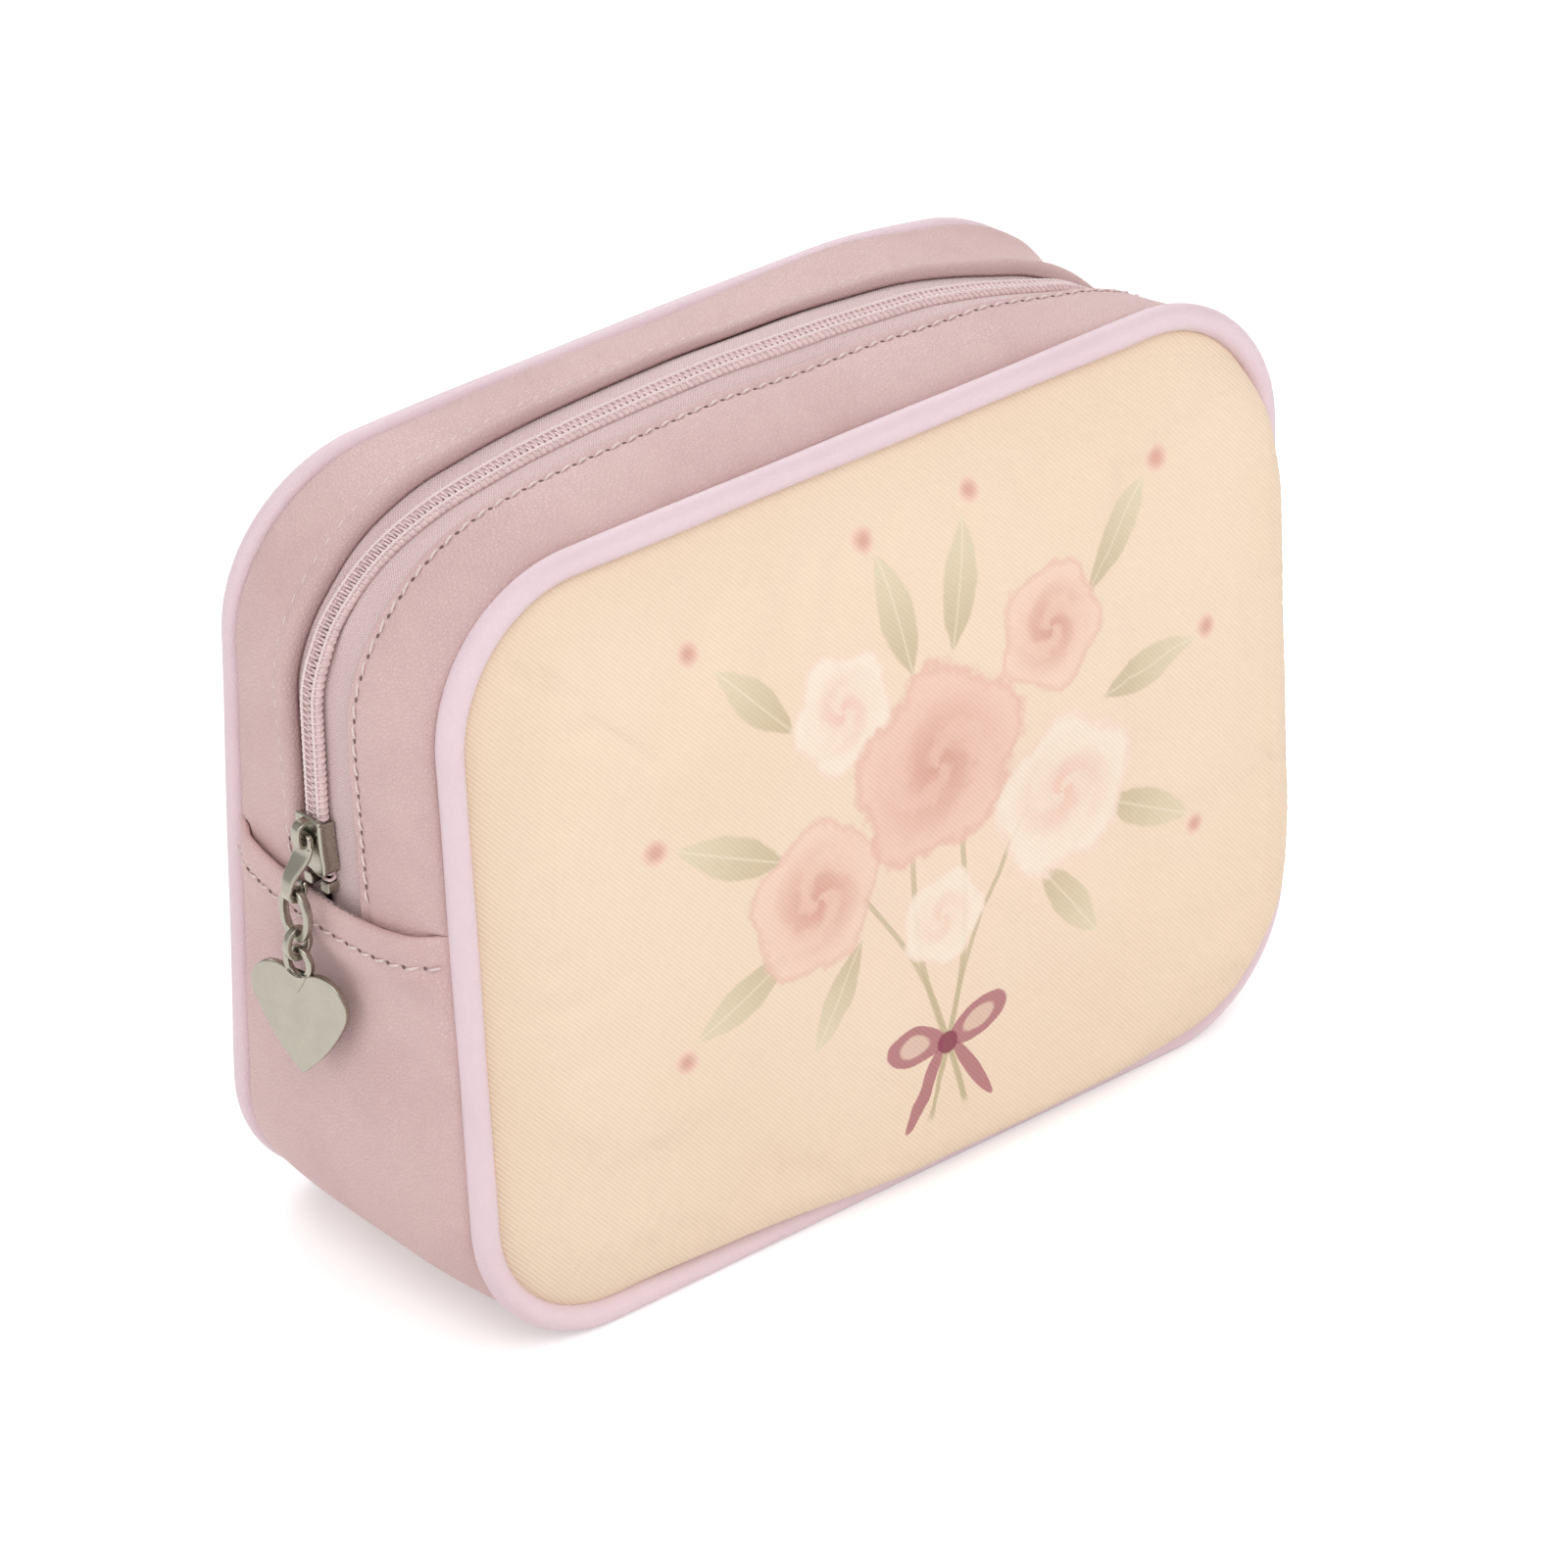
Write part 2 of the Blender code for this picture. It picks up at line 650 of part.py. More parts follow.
def make_upper_lining(label, face):
    zip_edge = ZIP_OFFSET + face * LINING_ZIP_GAP

    def section(station):
        y_seam = half_depth(station.z) - LINING_SETBACK
        y_crown = (y_seam + CROWN_FLAT_HALF) / 2
        across = [zip_edge] + [face * y for y in (CROWN_FLAT_HALF, y_crown, y_seam)]
        low = [skin_point(station, y, UPPER_LINING_DEPTH) for y in across]
        high = [skin_point(station, y, UPPER_LINING_DEPTH + LINING) for y in across[::-1]]
        return low + high

    heights = [STRIP_END] + spaced(STRIP_END, BAG_HEIGHT - TOP_CORNER_RADIUS, SIDE_STEPS)
    sweep(f"{label}_gusset_lining", arch_path(heights), section, LINING_CLOTH)


def make_base_lining(board_top):
    depth = board_top + CLEARANCE

    def section(station):
        y_seam = half_depth(station.z) - LINING_SETBACK
        across = [y_seam, CROWN_FLAT_HALF, -CROWN_FLAT_HALF, -y_seam]
        low = [skin_point(station, y, depth) for y in across]
        high = [skin_point(station, y, depth + LINING) for y in across[::-1]]
        return low + high

    heights = [STRIP_END + LINING_LAP]
    heights += spaced(BASE_CORNER_RADIUS, heights[0], SIDE_STEPS)[::-1]
    sweep("base_lining", cradle_path(heights), section, LINING_CLOTH)


# Zip chain


TAPE_DEPTH = LEATHER + CLEARANCE
COIL_FOOT = TAPE_DEPTH - CLEARANCE
COIL_TOP = COIL_FOOT - COIL_HEIGHT
SLIDER_LOW = FOLD_HEIGHT + SLIDER_ABOVE_FOLD
SLIDER_MIDDLE = SLIDER_LOW + SLIDER_LENGTH / 2
POST_TIP = SLIDER_LOW + POST_LENGTH
STOP_RISE_SHARE = 0.2
STOP_LOW = FOLD_HEIGHT + FOLD_SMILE * STOP_RISE_SHARE + CLEARANCE
COIL_END = STOP_LOW + STOP_LENGTH + CLEARANCE
COIL_SHOULDER_SHARES = (0.25, 0.3)
SPREAD_SHARE = 0.6
STOP_NIP_SHARE = 0.2


def spread(station):
    """Distance of each row from the chain's middle line, beyond half the clearance."""
    if station.normal_x > -1 or station.z >= POST_TIP + CLEARANCE:
        return 0
    share = (POST_TIP + CLEARANCE - station.z) / (POST_LENGTH * SPREAD_SHARE)
    return ROW_SPREAD * min(share, 1)


def coil_path():
    """Stations a half pitch apart, so that ribs and grooves can alternate."""
    low = COIL_END
    side = BAG_HEIGHT - TOP_CORNER_RADIUS - low
    side_steps = round(side / COIL_HALF_PITCH)
    heights = [low] + spaced(low, low + side, side_steps)
    corner_steps = round(TOP_CORNER_RADIUS * pi / 2 / COIL_HALF_PITCH)
    level_steps = round(2 * (HALF_WIDTH - TOP_CORNER_RADIUS) / COIL_HALF_PITCH)
    return arch_path(heights, level_steps, corner_steps)


def make_coil(label, face):
    """One row of the chain: its ribs bite into the grooves of the other row."""
    path = coil_path()
    order = {id(station): index for index, station in enumerate(path)}

    def section(station):
        ribbed = (order[id(station)] % 2 == 0) == (face == FRONT)
        relief = 0 if ribbed else COIL_RELIEF
        bite = COIL_BITE if ribbed else -COIL_BITE
        if spread(station) > 0:
            bite = min(bite, 0)
        near = ZIP_OFFSET + face * (CLEARANCE / 2 + spread(station) - bite)
        far = ZIP_OFFSET + face * (CLEARANCE / 2 + spread(station) + COIL_WIDTH - relief)
        shoulder = face * COIL_WIDTH * COIL_SHOULDER_SHARES[0]
        top = COIL_TOP + relief
        return [skin_point(station, near, COIL_FOOT),
                skin_point(station, near + shoulder, top),
                skin_point(station, far, top + COIL_HEIGHT * COIL_SHOULDER_SHARES[1]),
                skin_point(station, far, COIL_FOOT)]

    sweep(f"{label}_zip_coil", path, section, COIL_NYLON)


def make_tape(label, face):
    def section(station):
        near = ZIP_OFFSET + face * (CLEARANCE / 2 + spread(station))
        far = ZIP_OFFSET + face * TAPE_WIDTH
        flat = face * min(CROWN_FLAT_HALF, abs(far))
        return [skin_point(station, near, TAPE_DEPTH), skin_point(station, flat, TAPE_DEPTH),
                skin_point(station, far, TAPE_DEPTH),
                skin_point(station, far, TAPE_DEPTH + TAPE_THICKNESS),
                skin_point(station, flat, TAPE_DEPTH + TAPE_THICKNESS),
                skin_point(station, near, TAPE_DEPTH + TAPE_THICKNESS)]

    parted = POST_TIP + CLEARANCE - POST_LENGTH * SPREAD_SHARE
    heights = [STRIP_END, SLIDER_LOW, parted, POST_TIP + CLEARANCE]
    heights += spaced(POST_TIP + CLEARANCE, BAG_HEIGHT - TOP_CORNER_RADIUS, SIDE_STEPS)
    sweep(f"{label}_zip_tape", arch_path(heights), section, TAPE_CLOTH)


def side_frame(side, z):
    """A frame on the side of the bag: u across to the back, v up, w out from the skin."""
    out = Vector((side, 0, 0))
    across = Vector((0, 1, 0))
    up = Vector((0, 0, 1))
    frame = Matrix((across, up, out)).transposed().to_4x4()
    frame.translation = Vector((side * (HALF_WIDTH - SKIN_INSET + SIDE_CROWN), ZIP_OFFSET, z))
    return frame


def stop_outline(left, right):
    nip = STOP_LENGTH * STOP_NIP_SHARE
    return [(left + nip, 0), (right - nip, 0), (right, nip), (right, STOP_LENGTH - nip),
            (right - nip, STOP_LENGTH), (left + nip, STOP_LENGTH), (left, STOP_LENGTH - nip),
            (left, nip)]


def make_stops():
    """Two metal stops below the slider, and one across the far end of the chain."""
    low = -COIL_FOOT
    high = -COIL_TOP
    near = CLEARANCE / 2 + ROW_SPREAD
    frame = side_frame(LEFT, STOP_LOW)
    add_prism("back_top_stop", stop_outline(near, near + STOP_WIDTH), low, high, frame, NICKEL)
    add_prism("front_top_stop", stop_outline(-near - STOP_WIDTH, -near), low, high, frame, NICKEL)
    reach = CLEARANCE / 2 + COIL_WIDTH
    add_prism("bottom_stop", stop_outline(-reach, reach), low, high, side_frame(RIGHT, STOP_LOW),
              NICKEL)


# Slider, in the frame of the left side


PLATE_FOOT = CLEARANCE - COIL_TOP
PLATE_TOP = PLATE_FOOT + SLIDER_PLATE
LOWER_PLATE_TOP = -(TAPE_DEPTH + TAPE_THICKNESS + CLEARANCE)
LOWER_PLATE_FOOT = LOWER_PLATE_TOP - SLIDER_PLATE
RAIL_FOOT = CLEARANCE - TAPE_DEPTH
NARROW_CHANNEL = CLEARANCE / 2 + COIL_WIDTH + CLEARANCE
WIDE_CHANNEL = NARROW_CHANNEL + ROW_SPREAD
NARROW_HALF = NARROW_CHANNEL + SLIDER_RAIL
WIDE_HALF = WIDE_CHANNEL + SLIDER_RAIL - CLEARANCE / 2
SINK = CLEARANCE


def scaled(shares, u_size, v_size):
    """Turn a table of shares into points of an outline."""
    return [(u_size * u_share, v_size * v_share) for u_share, v_share in shares]


# Shares of half a width and of half the slider's length, from its narrow end to its mouths
NARROW_END_SHARES = ((0.62, 1), (0.93, 0.86), (1, 0.6), (1.01, 0.36))
WIDE_END_SHARES = ((0.94, 0.05), (1, -0.22), (1, -0.72), (0.92, -0.93))
NARROW_CHANNEL_SHARES = ((1, 0.6), (1, 0.36))
WIDE_CHANNEL_SHARES = ((0.97, -0.05), (1, -0.22), (1, -0.93))
MOUTH_SHARES = ((1, -0.93), (0, -0.86))
POST_FOOT_SHARE = 0.8
POST_TAPER_SHARE = 0.45


def slider_side():
    """Half of the slider's outline, on the right."""
    half = SLIDER_LENGTH / 2
    return scaled(NARROW_END_SHARES, NARROW_HALF, half) + scaled(WIDE_END_SHARES, WIDE_HALF, half)


def channel_side():
    """The outer wall of the channel for one row."""
    half = SLIDER_LENGTH / 2
    return (scaled(NARROW_CHANNEL_SHARES, NARROW_CHANNEL, half)
            + scaled(WIDE_CHANNEL_SHARES, WIDE_CHANNEL, half))


def mirrored(points):
    return [(-u, v) for u, v in points[::-1]]


def make_slider():
    frame = side_frame(LEFT, SLIDER_MIDDLE)
    half = SLIDER_LENGTH / 2
    right = slider_side()
    mouth = scaled(MOUTH_SHARES, POST_HALF_WIDTH, half)
    outline = right + mouth + mirrored(mouth[:1]) + mirrored(right)
    body = add_prism("slider_body", outline, PLATE_FOOT, PLATE_TOP, frame, NICKEL,
                     bevel=SLIDER_EDGE)
    lower = add_prism("lower plate guide", outline, LOWER_PLATE_FOOT, LOWER_PLATE_TOP, frame,
                      NICKEL)
    boolean(body, lower, "UNION")
    post_foot = half * POST_FOOT_SHARE
    post_tip = POST_TIP - SLIDER_MIDDLE
    shoulder = post_tip - POST_LENGTH * POST_TAPER_SHARE
    side = [(POST_HALF_WIDTH, shoulder), (POST_HALF_WIDTH, -post_foot)]
    post = [(0, post_tip)] + side + mirrored(side)
    neck = add_prism("post guide", post, LOWER_PLATE_TOP - SINK, PLATE_FOOT + SINK, frame, NICKEL)
    boolean(body, neck, "UNION")
    rail = right[2:] + channel_side()[::-1]
    for label, points in (("back", rail), ("front", mirrored(rail))):
        wall = add_prism(f"{label} rail guide", points, RAIL_FOOT, PLATE_FOOT + SINK, frame, NICKEL)
        boolean(body, wall, "UNION")
    boolean(body, make_bridge_guide(frame), "UNION")
    move_origin(body, frame.translation)
    return frame


BAR_LEVEL = PLATE_TOP + CLEARANCE + PULLER_THICKNESS / 2
BAR_HEIGHT = BRIDGE_LENGTH / 2
BRIDGE_SHOULDER_SHARES = ((0, -0.2), (0.4, 0.7), (1.2, 1))
BRIDGE_HOLLOW_SHARES = ((1.4, 0), (1, -0.4))


def make_bridge_guide(frame):
    """The arch over the top plate that holds the puller, from the slider's middle up."""
    foot = PLATE_TOP - SINK
    high = PLATE_TOP + BRIDGE_OPENING

    def rounded(shares):
        return [(along, high + rise) for along, rise in scaled(shares, BRIDGE_STRAP, BRIDGE_STRAP)]

    outer = [(0, foot)] + rounded(BRIDGE_SHOULDER_SHARES)
    hollow = rounded(BRIDGE_HOLLOW_SHARES) + [(BRIDGE_STRAP, foot)]
    far_outer = [(BRIDGE_LENGTH - along, level) for along, level in outer[::-1]]
    far_hollow = [(BRIDGE_LENGTH - along, level) for along, level in hollow[::-1]]
    turned = frame @ Matrix(((0, 0, 1, 0), (1, 0, 0, 0), (0, 1, 0, 0), (0, 0, 0, 1)))
    return add_prism("bridge guide", outer + far_outer + far_hollow + hollow,
                     -BRIDGE_HALF_WIDTH, BRIDGE_HALF_WIDTH, turned, NICKEL)


def move_origin(item, place):
    """Put an object's origin on its joint and keep its shape where it is."""
    item.data.transform(Matrix.Translation(-place))
    item.location = place


# Puller, ring, link and charm hang from the bridge


BAND_SECTION_SHARES = ((1, 0.5), (0.6, 1), (-0.6, 1), (-1, 0.5),
                       (-1, -0.5), (-0.6, -1), (0.6, -1), (1, -0.5))


def band_ring(name, half_width, half_height, band, depth, frame, finish, around=20):
    """An oval loop of flat band with eased edges, in the u-v plane of a frame."""
    section = scaled(BAND_SECTION_SHARES, band / 2, depth / 2)
    bm = bmesh.new()
    rings = []
    for step in range(around):
        angle = 2 * pi * step / around
        centre = Vector((half_width * cos(angle), half_height * sin(angle), 0))
        outward = Vector((half_height * cos(angle), half_width * sin(angle), 0)).normalized()
        rings.append([bm.verts.new(frame @ (centre + outward * across + Vector((0, 0, level))))
                      for across, level in section])
    for ring, following in zip(rings, rings[1:] + rings[:1]):
        for side in range(len(section)):
            after = (side + 1) % len(section)
            bm.faces.new((ring[side], ring[after], following[after], following[side]))
    return add_object(name, bm, finish)


# Shares of the eye's half width and of its shoulder's distance from the bar
PULLER_SHOULDER_SHARES = ((1, 0.8), (0.88, 1.15))
PULLER_END_SHARE = 0.8
PULLER_TIP_SHARES = (0.6, 0.6)


def make_puller(frame):
    """A flat puller with an eye for the bridge and a cross bore for the ring."""
    bar = PULLER_THICKNESS / 2
    eye = PULLER_EYE_HALF_WIDTH
    window = BRIDGE_HALF_WIDTH + CLEARANCE
    window_end = BRIDGE_LENGTH / 2 + CLEARANCE
    shoulder = window_end + bar * 2
    tip = PULLER_REACH + BARREL_RADIUS * PULLER_TIP_SHARES[1]
    half = [(eye * PULLER_END_SHARE, -bar), (eye, 0)]
    half += scaled(PULLER_SHOULDER_SHARES, eye, shoulder)
    half += [(PULLER_TIP_HALF_WIDTH, PULLER_REACH - BARREL_RADIUS),
             (PULLER_TIP_HALF_WIDTH, PULLER_REACH),
             (PULLER_TIP_HALF_WIDTH * PULLER_TIP_SHARES[0], tip)]
    hang = frame @ Matrix.Translation(Vector((0, BAR_HEIGHT, BAR_LEVEL)))
    hang = hang @ Matrix.Diagonal((1, -1, 1, 1))
    puller = add_prism("puller", half + mirrored(half), -bar, bar, hang, NICKEL,
                       bevel=PULLER_EDGE)
    slot = [(-window, bar), (window, bar), (window, window_end), (-window, window_end)]
    cutter = add_prism("puller eye cutter", slot, -2 * bar, 2 * bar, hang, NICKEL)
    boolean(puller, cutter, "DIFFERENCE")
    barrel_centre = Vector((0, PULLER_REACH, CHARM_STANDOFF - BAR_LEVEL))
    barrel = add_cylinder("barrel guide", BARREL_RADIUS, 2 * PULLER_TIP_HALF_WIDTH,
                          hang @ barrel_centre)
    boolean(puller, barrel, "UNION")
    bore = add_cylinder("barrel bore cutter", BARREL_BORE, 4 * PULLER_TIP_HALF_WIDTH,
                        hang @ barrel_centre)
    boolean(puller, bore, "DIFFERENCE")
    move_origin(puller, hang.translation)
    return hang @ barrel_centre


def add_cylinder(name, radius, length, place, sides=20):
    """A cylinder along the depth of the bag."""
    outline = [(radius * cos(2 * pi * side / sides), radius * sin(2 * pi * side / sides))
               for side in range(sides)]
    frame = Matrix(((1, 0, 0, 0), (0, 0, -1, 0), (0, 1, 0, 0), (0, 0, 0, 1)))
    frame.translation = place
    return add_prism(name, outline, -length / 2, length / 2, frame, NICKEL)


def make_chain(hook):
    """The oval ring in the puller's bore, the link on it and the charm below."""
    facing = Matrix(((0, 0, -1, 0), (1, 0, 0, 0), (0, 1, 0, 0), (0, 0, 0, 1)))
    edge_on = Matrix(((1, 0, 0, 0), (0, 0, -1, 0), (0, 1, 0, 0), (0, 0, 0, 1)))
    ring_frame = facing.copy()
    ring_frame.translation = hook - Vector((0, 0, RING_HALF_HEIGHT))
    ring = band_ring("pull_ring", RING_HALF_WIDTH, RING_HALF_HEIGHT, RING_BAND, RING_DEPTH,
                     ring_frame, NICKEL)
    move_origin(ring, hook)

    ring_foot = hook - Vector((0, 0, 2 * RING_HALF_HEIGHT))
    link_top = ring_foot + Vector((0, 0, (RING_BAND + LINK_BAND) / 2 + CLEARANCE))
    link_frame = edge_on.copy()
    link_frame.translation = link_top - Vector((0, 0, LINK_HALF_HEIGHT))
    link = band_ring("connector_link", LINK_HALF_WIDTH, LINK_HALF_HEIGHT, LINK_BAND, LINK_DEPTH,
                     link_frame, NICKEL)
    move_origin(link, ring_foot)

    link_foot = link_top - Vector((0, 0, 2 * LINK_HALF_HEIGHT))
    turned = Matrix.Rotation(CHARM_TURN, 4, "Z") @ facing
    turned.translation = link_foot
    charm = make_charm(turned)
    move_origin(charm, link_foot)


def heart_side(lobe_steps=9, side_steps=4):
    """The heart's right half, from the notch over the lobe and down its full side.

    The side is an arc that touches the lobe's circle from outside and ends at the tip.
    """
    radius = HEART_LOBE_RADIUS
    reach = hypot(HEART_LOBE_OFFSET, HEART_TIP_DROP)
    span = HEART_SIDE_RADIUS - radius
    fold = acos((reach ** 2 + span ** 2 - HEART_SIDE_RADIUS ** 2) / (2 * span * reach))
    start = pi - acos(HEART_LOBE_OFFSET / radius)
    stop = atan2(HEART_TIP_DROP, HEART_LOBE_OFFSET) - fold
    side_u = HEART_LOBE_OFFSET - span * cos(stop)
    side_v = -span * sin(stop)
    last = atan2(-HEART_TIP_DROP - side_v, -side_u)
    lobe = [start + (stop - start) * step / lobe_steps for step in range(1, lobe_steps + 1)]
    side = [stop + (last - stop) * step / side_steps for step in range(1, side_steps)]
    return ([(HEART_LOBE_OFFSET + radius * cos(angle), radius * sin(angle)) for angle in lobe]
            + [(side_u + HEART_SIDE_RADIUS * cos(angle), side_v + HEART_SIDE_RADIUS * sin(angle))
               for angle in side])


def make_charm(frame):
    """A flat heart with a stamped bail loop round the link's lower strand."""
    bail_drop = LINK_BAND / 2 + BAIL_PLAY + BAIL_BAND / 2 - BAIL_HALF_HEIGHT
    lobes = bail_drop - HEART_BELOW_BAIL - BAIL_HALF_HEIGHT
    notch = lobes + sqrt(HEART_LOBE_RADIUS ** 2 - HEART_LOBE_OFFSET ** 2)
    side = [(u, v + lobes) for u, v in heart_side()]
    outline = [(0, notch)] + side + [(0, lobes - HEART_TIP_DROP)] + mirrored(side)
    half = CHARM_THICKNESS / 2
    charm = add_prism("heart_charm", outline, -half, half, frame, NICKEL, CHARM_BEVEL, rounds=1)
    bail = make_bail_guide(frame, bail_drop)
    boolean(charm, bail, "UNION")
    return charm


def make_bail_guide(frame, middle, around=16):
    """The flat oval loop at the top of the charm, with eased edges."""
    bm = bmesh.new()
    half = CHARM_THICKNESS / 2
    band = BAIL_BAND / 2
    ease = CHARM_BEVEL
    profile = [(band - ease, half), (band, half - ease), (band, ease - half),
               (band - ease, -half), (ease - band, -half), (-band, ease - half),
               (-band, half - ease), (ease - band, half)]
    rings = []
    for step in range(around):
        angle = 2 * pi * step / around
        ring = [bm.verts.new(frame @ Vector(((BAIL_HALF_WIDTH + across) * cos(angle),
                                             middle + (BAIL_HALF_HEIGHT + across) * sin(angle),
                                             level)))
                for across, level in profile]
        rings.append(ring)
    for ring, following in zip(rings, rings[1:] + rings[:1]):
        for side in range(len(profile)):
            after = (side + 1) % len(profile)
            bm.faces.new((ring[side], ring[after], following[after], following[side]))
    return add_object("bail guide", bm, NICKEL)


def main():
    clear_scene()
    for label, face, finish in (("front", FRONT, PANEL_TWILL), ("back", BACK, PINK_LEATHER)):
        make_panel_set(label, face, finish)
        make_piping(label, face)
        make_binding(label, face)
        make_upper_lining(label, face)
        make_tape(label, face)
        make_coil(label, face)
    make_front_strip()
    make_back_strip()
    make_base_gusset()
    make_base_lining(make_base_board())
    make_stops()
    make_chain(make_puller(make_slider()))


main()
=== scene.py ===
from math import cos, pi, radians, sin, sqrt

import bmesh
import bpy
import numpy as np
from mathutils import Matrix, Vector


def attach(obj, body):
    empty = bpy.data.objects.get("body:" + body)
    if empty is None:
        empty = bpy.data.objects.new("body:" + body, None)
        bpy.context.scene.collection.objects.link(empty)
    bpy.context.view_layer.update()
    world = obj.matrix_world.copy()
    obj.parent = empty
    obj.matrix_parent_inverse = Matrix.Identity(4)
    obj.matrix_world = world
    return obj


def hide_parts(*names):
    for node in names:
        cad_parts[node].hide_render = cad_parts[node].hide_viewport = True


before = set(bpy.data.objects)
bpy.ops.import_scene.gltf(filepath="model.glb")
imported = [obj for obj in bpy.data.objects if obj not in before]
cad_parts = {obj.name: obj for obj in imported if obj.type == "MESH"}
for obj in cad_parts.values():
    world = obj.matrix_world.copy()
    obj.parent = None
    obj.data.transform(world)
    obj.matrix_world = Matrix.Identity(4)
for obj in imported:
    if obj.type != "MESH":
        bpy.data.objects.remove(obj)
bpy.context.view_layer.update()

# Sizes of the bag in millimetres, as the CAD model has them; points are in millimetres too

MM = 0.001
WIDTH = 210.0
HEIGHT = 166.5
BASE_DEPTH = 83.6
TOP_DEPTH = 68.4
TOP_RADIUS = 33.0
BASE_RADIUS = 32.0
HALF_WIDTH = WIDTH / 2
LEAN = (BASE_DEPTH - TOP_DEPTH) / 2 / HEIGHT
CLEARANCE = 0.3
LEATHER = 1.1
SKIN_INSET = 1.2
SIDE_CROWN = 3.8
PIPING_RADIUS = 2.7
ROOT_RADIUS = 2.95
STRIP_END = 84.0
FOLD_HEIGHT = 92.0
FOLD_SMILE = 5.0
ZIP_MIDDLE = 2.0
BACK_EDGE = 7.1
FRONT_EDGE = -9.3
TAPE_DEPTH = 1.4
TAPE_THICKNESS = 0.6
ROW_TOP = -1.3
POST_TIP = 104.7
POST_SPLIT = 4.32
ROW_SPREAD = 1.1
COIL_END = 96.0
FRONT, BACK = -1, 1
LEFT, RIGHT = -1, 1
FACES = (("front", FRONT), ("back", BACK))

# Sizes of what is sewn and woven

STITCH_PITCH = 4.0
THREAD_LENGTH = 2.5
THREAD_RADIUS = 0.3
THREAD_SLANT = 0.34
FRONT_STITCH = 2.4
BACK_STITCH = 5.0
FOLD_STITCH = 6.3
LOOP_PITCH = 1.4
LOOP_WIRE = 0.33
LOOP_STEPS = 16
WIRE_SIDES = 5
TUBE_UP = (0.13, 0.97, 0.21)
CORD_PLACE = 1.65
CORD_RADIUS = 0.36
CORD_SINK = 0.2
HOLE_HALF = (0.60, 0.46)
HOLE_DEPTH = 0.18
UNDER_FOLD = 1.5
SHEET_MARGIN = 9.0
HEAD_REACH = 0.9
ROW_REACH = 2.95
ROW_SINK = 0.75
GRID = 1.25


# Paths along the outline


def unit(vectors):
    return vectors / np.linalg.norm(vectors, axis=-1, keepdims=True)


class Path:
    """Stations along the outline: place, outward normal and length along the way."""

    def __init__(self, x, z, nx, nz):
        self.x, self.z, self.nx, self.nz = x, z, nx, nz
        self.s = np.concatenate([[0], np.cumsum(np.hypot(np.diff(x), np.diff(z)))])
        self.t = self.s - self.s[-1] / 2

    def __len__(self):
        return len(self.x)

    def at(self, s):
        """Stations at given lengths."""
        found = Path.__new__(Path)
        found.x, found.z, nx, nz, found.t = (np.interp(s, self.s, values) for values in
                                             (self.x, self.z, self.nx, self.nz, self.t))
        size = np.hypot(nx, nz)
        found.nx, found.nz = nx / size, nz / size
        found.s = np.asarray(s, float)
        return found


def outline(stops, out, step):
    """Runs between stops with the bag's rounded corners; out is 1 with outside on the left."""
    stops = np.array(stops, float)
    legs = unit(np.diff(stops, axis=0))
    normals = out * legs[:, ::-1] * (-1, 1)
    radii = [0, *(TOP_RADIUS if z else BASE_RADIUS for _, z in stops[1:-1]), 0]
    rows = []
    for index, (leg, normal) in enumerate(zip(legs, normals)):
        start = stops[index] + leg * radii[index]
        stop = stops[index + 1] - leg * radii[index + 1]
        count = max(int(round(np.linalg.norm(stop - start) / step)), 1)
        share = np.arange(count)[:, None] / count
        rows += [(*place, *normal) for place in start + (stop - start) * share]
        if index + 1 < len(legs):
            radius = radii[index + 1]
            count = int(round(radius * pi / 2 / step))
            angle = np.arange(count)[:, None] / count * pi / 2
            facing = normal * np.cos(angle) + normals[index + 1] * np.sin(angle)
            middle = stop - normal * radius
            rows += [(*(middle + way * radius), *way) for way in facing]
    return Path(*np.array([*rows, (*stops[-1], *normals[-1])]).T)


def arch(low, step):
    """Up the left side, over the top and down the right side."""
    return outline([(-HALF_WIDTH, low), (-HALF_WIDTH, HEIGHT), (HALF_WIDTH, HEIGHT),
                    (HALF_WIDTH, low)], 1, step)


def cradle(high, step):
    """Down the left side, along the base and up the right side."""
    return outline([(-HALF_WIDTH, high), (-HALF_WIDTH, 0), (HALF_WIDTH, 0), (HALF_WIDTH, high)],
                   -1, step)


def loop(step):
    """The whole outline once round, from the middle of the base; its last station is its first."""
    return outline([(0, 0), (-HALF_WIDTH, 0), (-HALF_WIDTH, HEIGHT), (HALF_WIDTH, HEIGHT),
                    (HALF_WIDTH, 0), (0, 0)], 1, step)


# The bag's surface


def smooth(value, low, high):
    """From 0 at low to 1 at high, with level ends."""
    share = np.clip((np.asarray(value, float) - low) / (high - low), 0, 1)
    return share * share * (3 - 2 * share)


def half_depth(z):
    return BASE_DEPTH / 2 - LEAN * z


def along(value, places, heights, spread=5.0):
    """A soft curve through heights at places."""
    total = 0
    offsets = np.linspace(-1, 1, 9)
    weights = 1.2 - np.abs(offsets)
    for offset, weight in zip(offsets, weights):
        total = total + weight * np.interp(value + offset * spread, places, heights)
    return total / weights.sum()


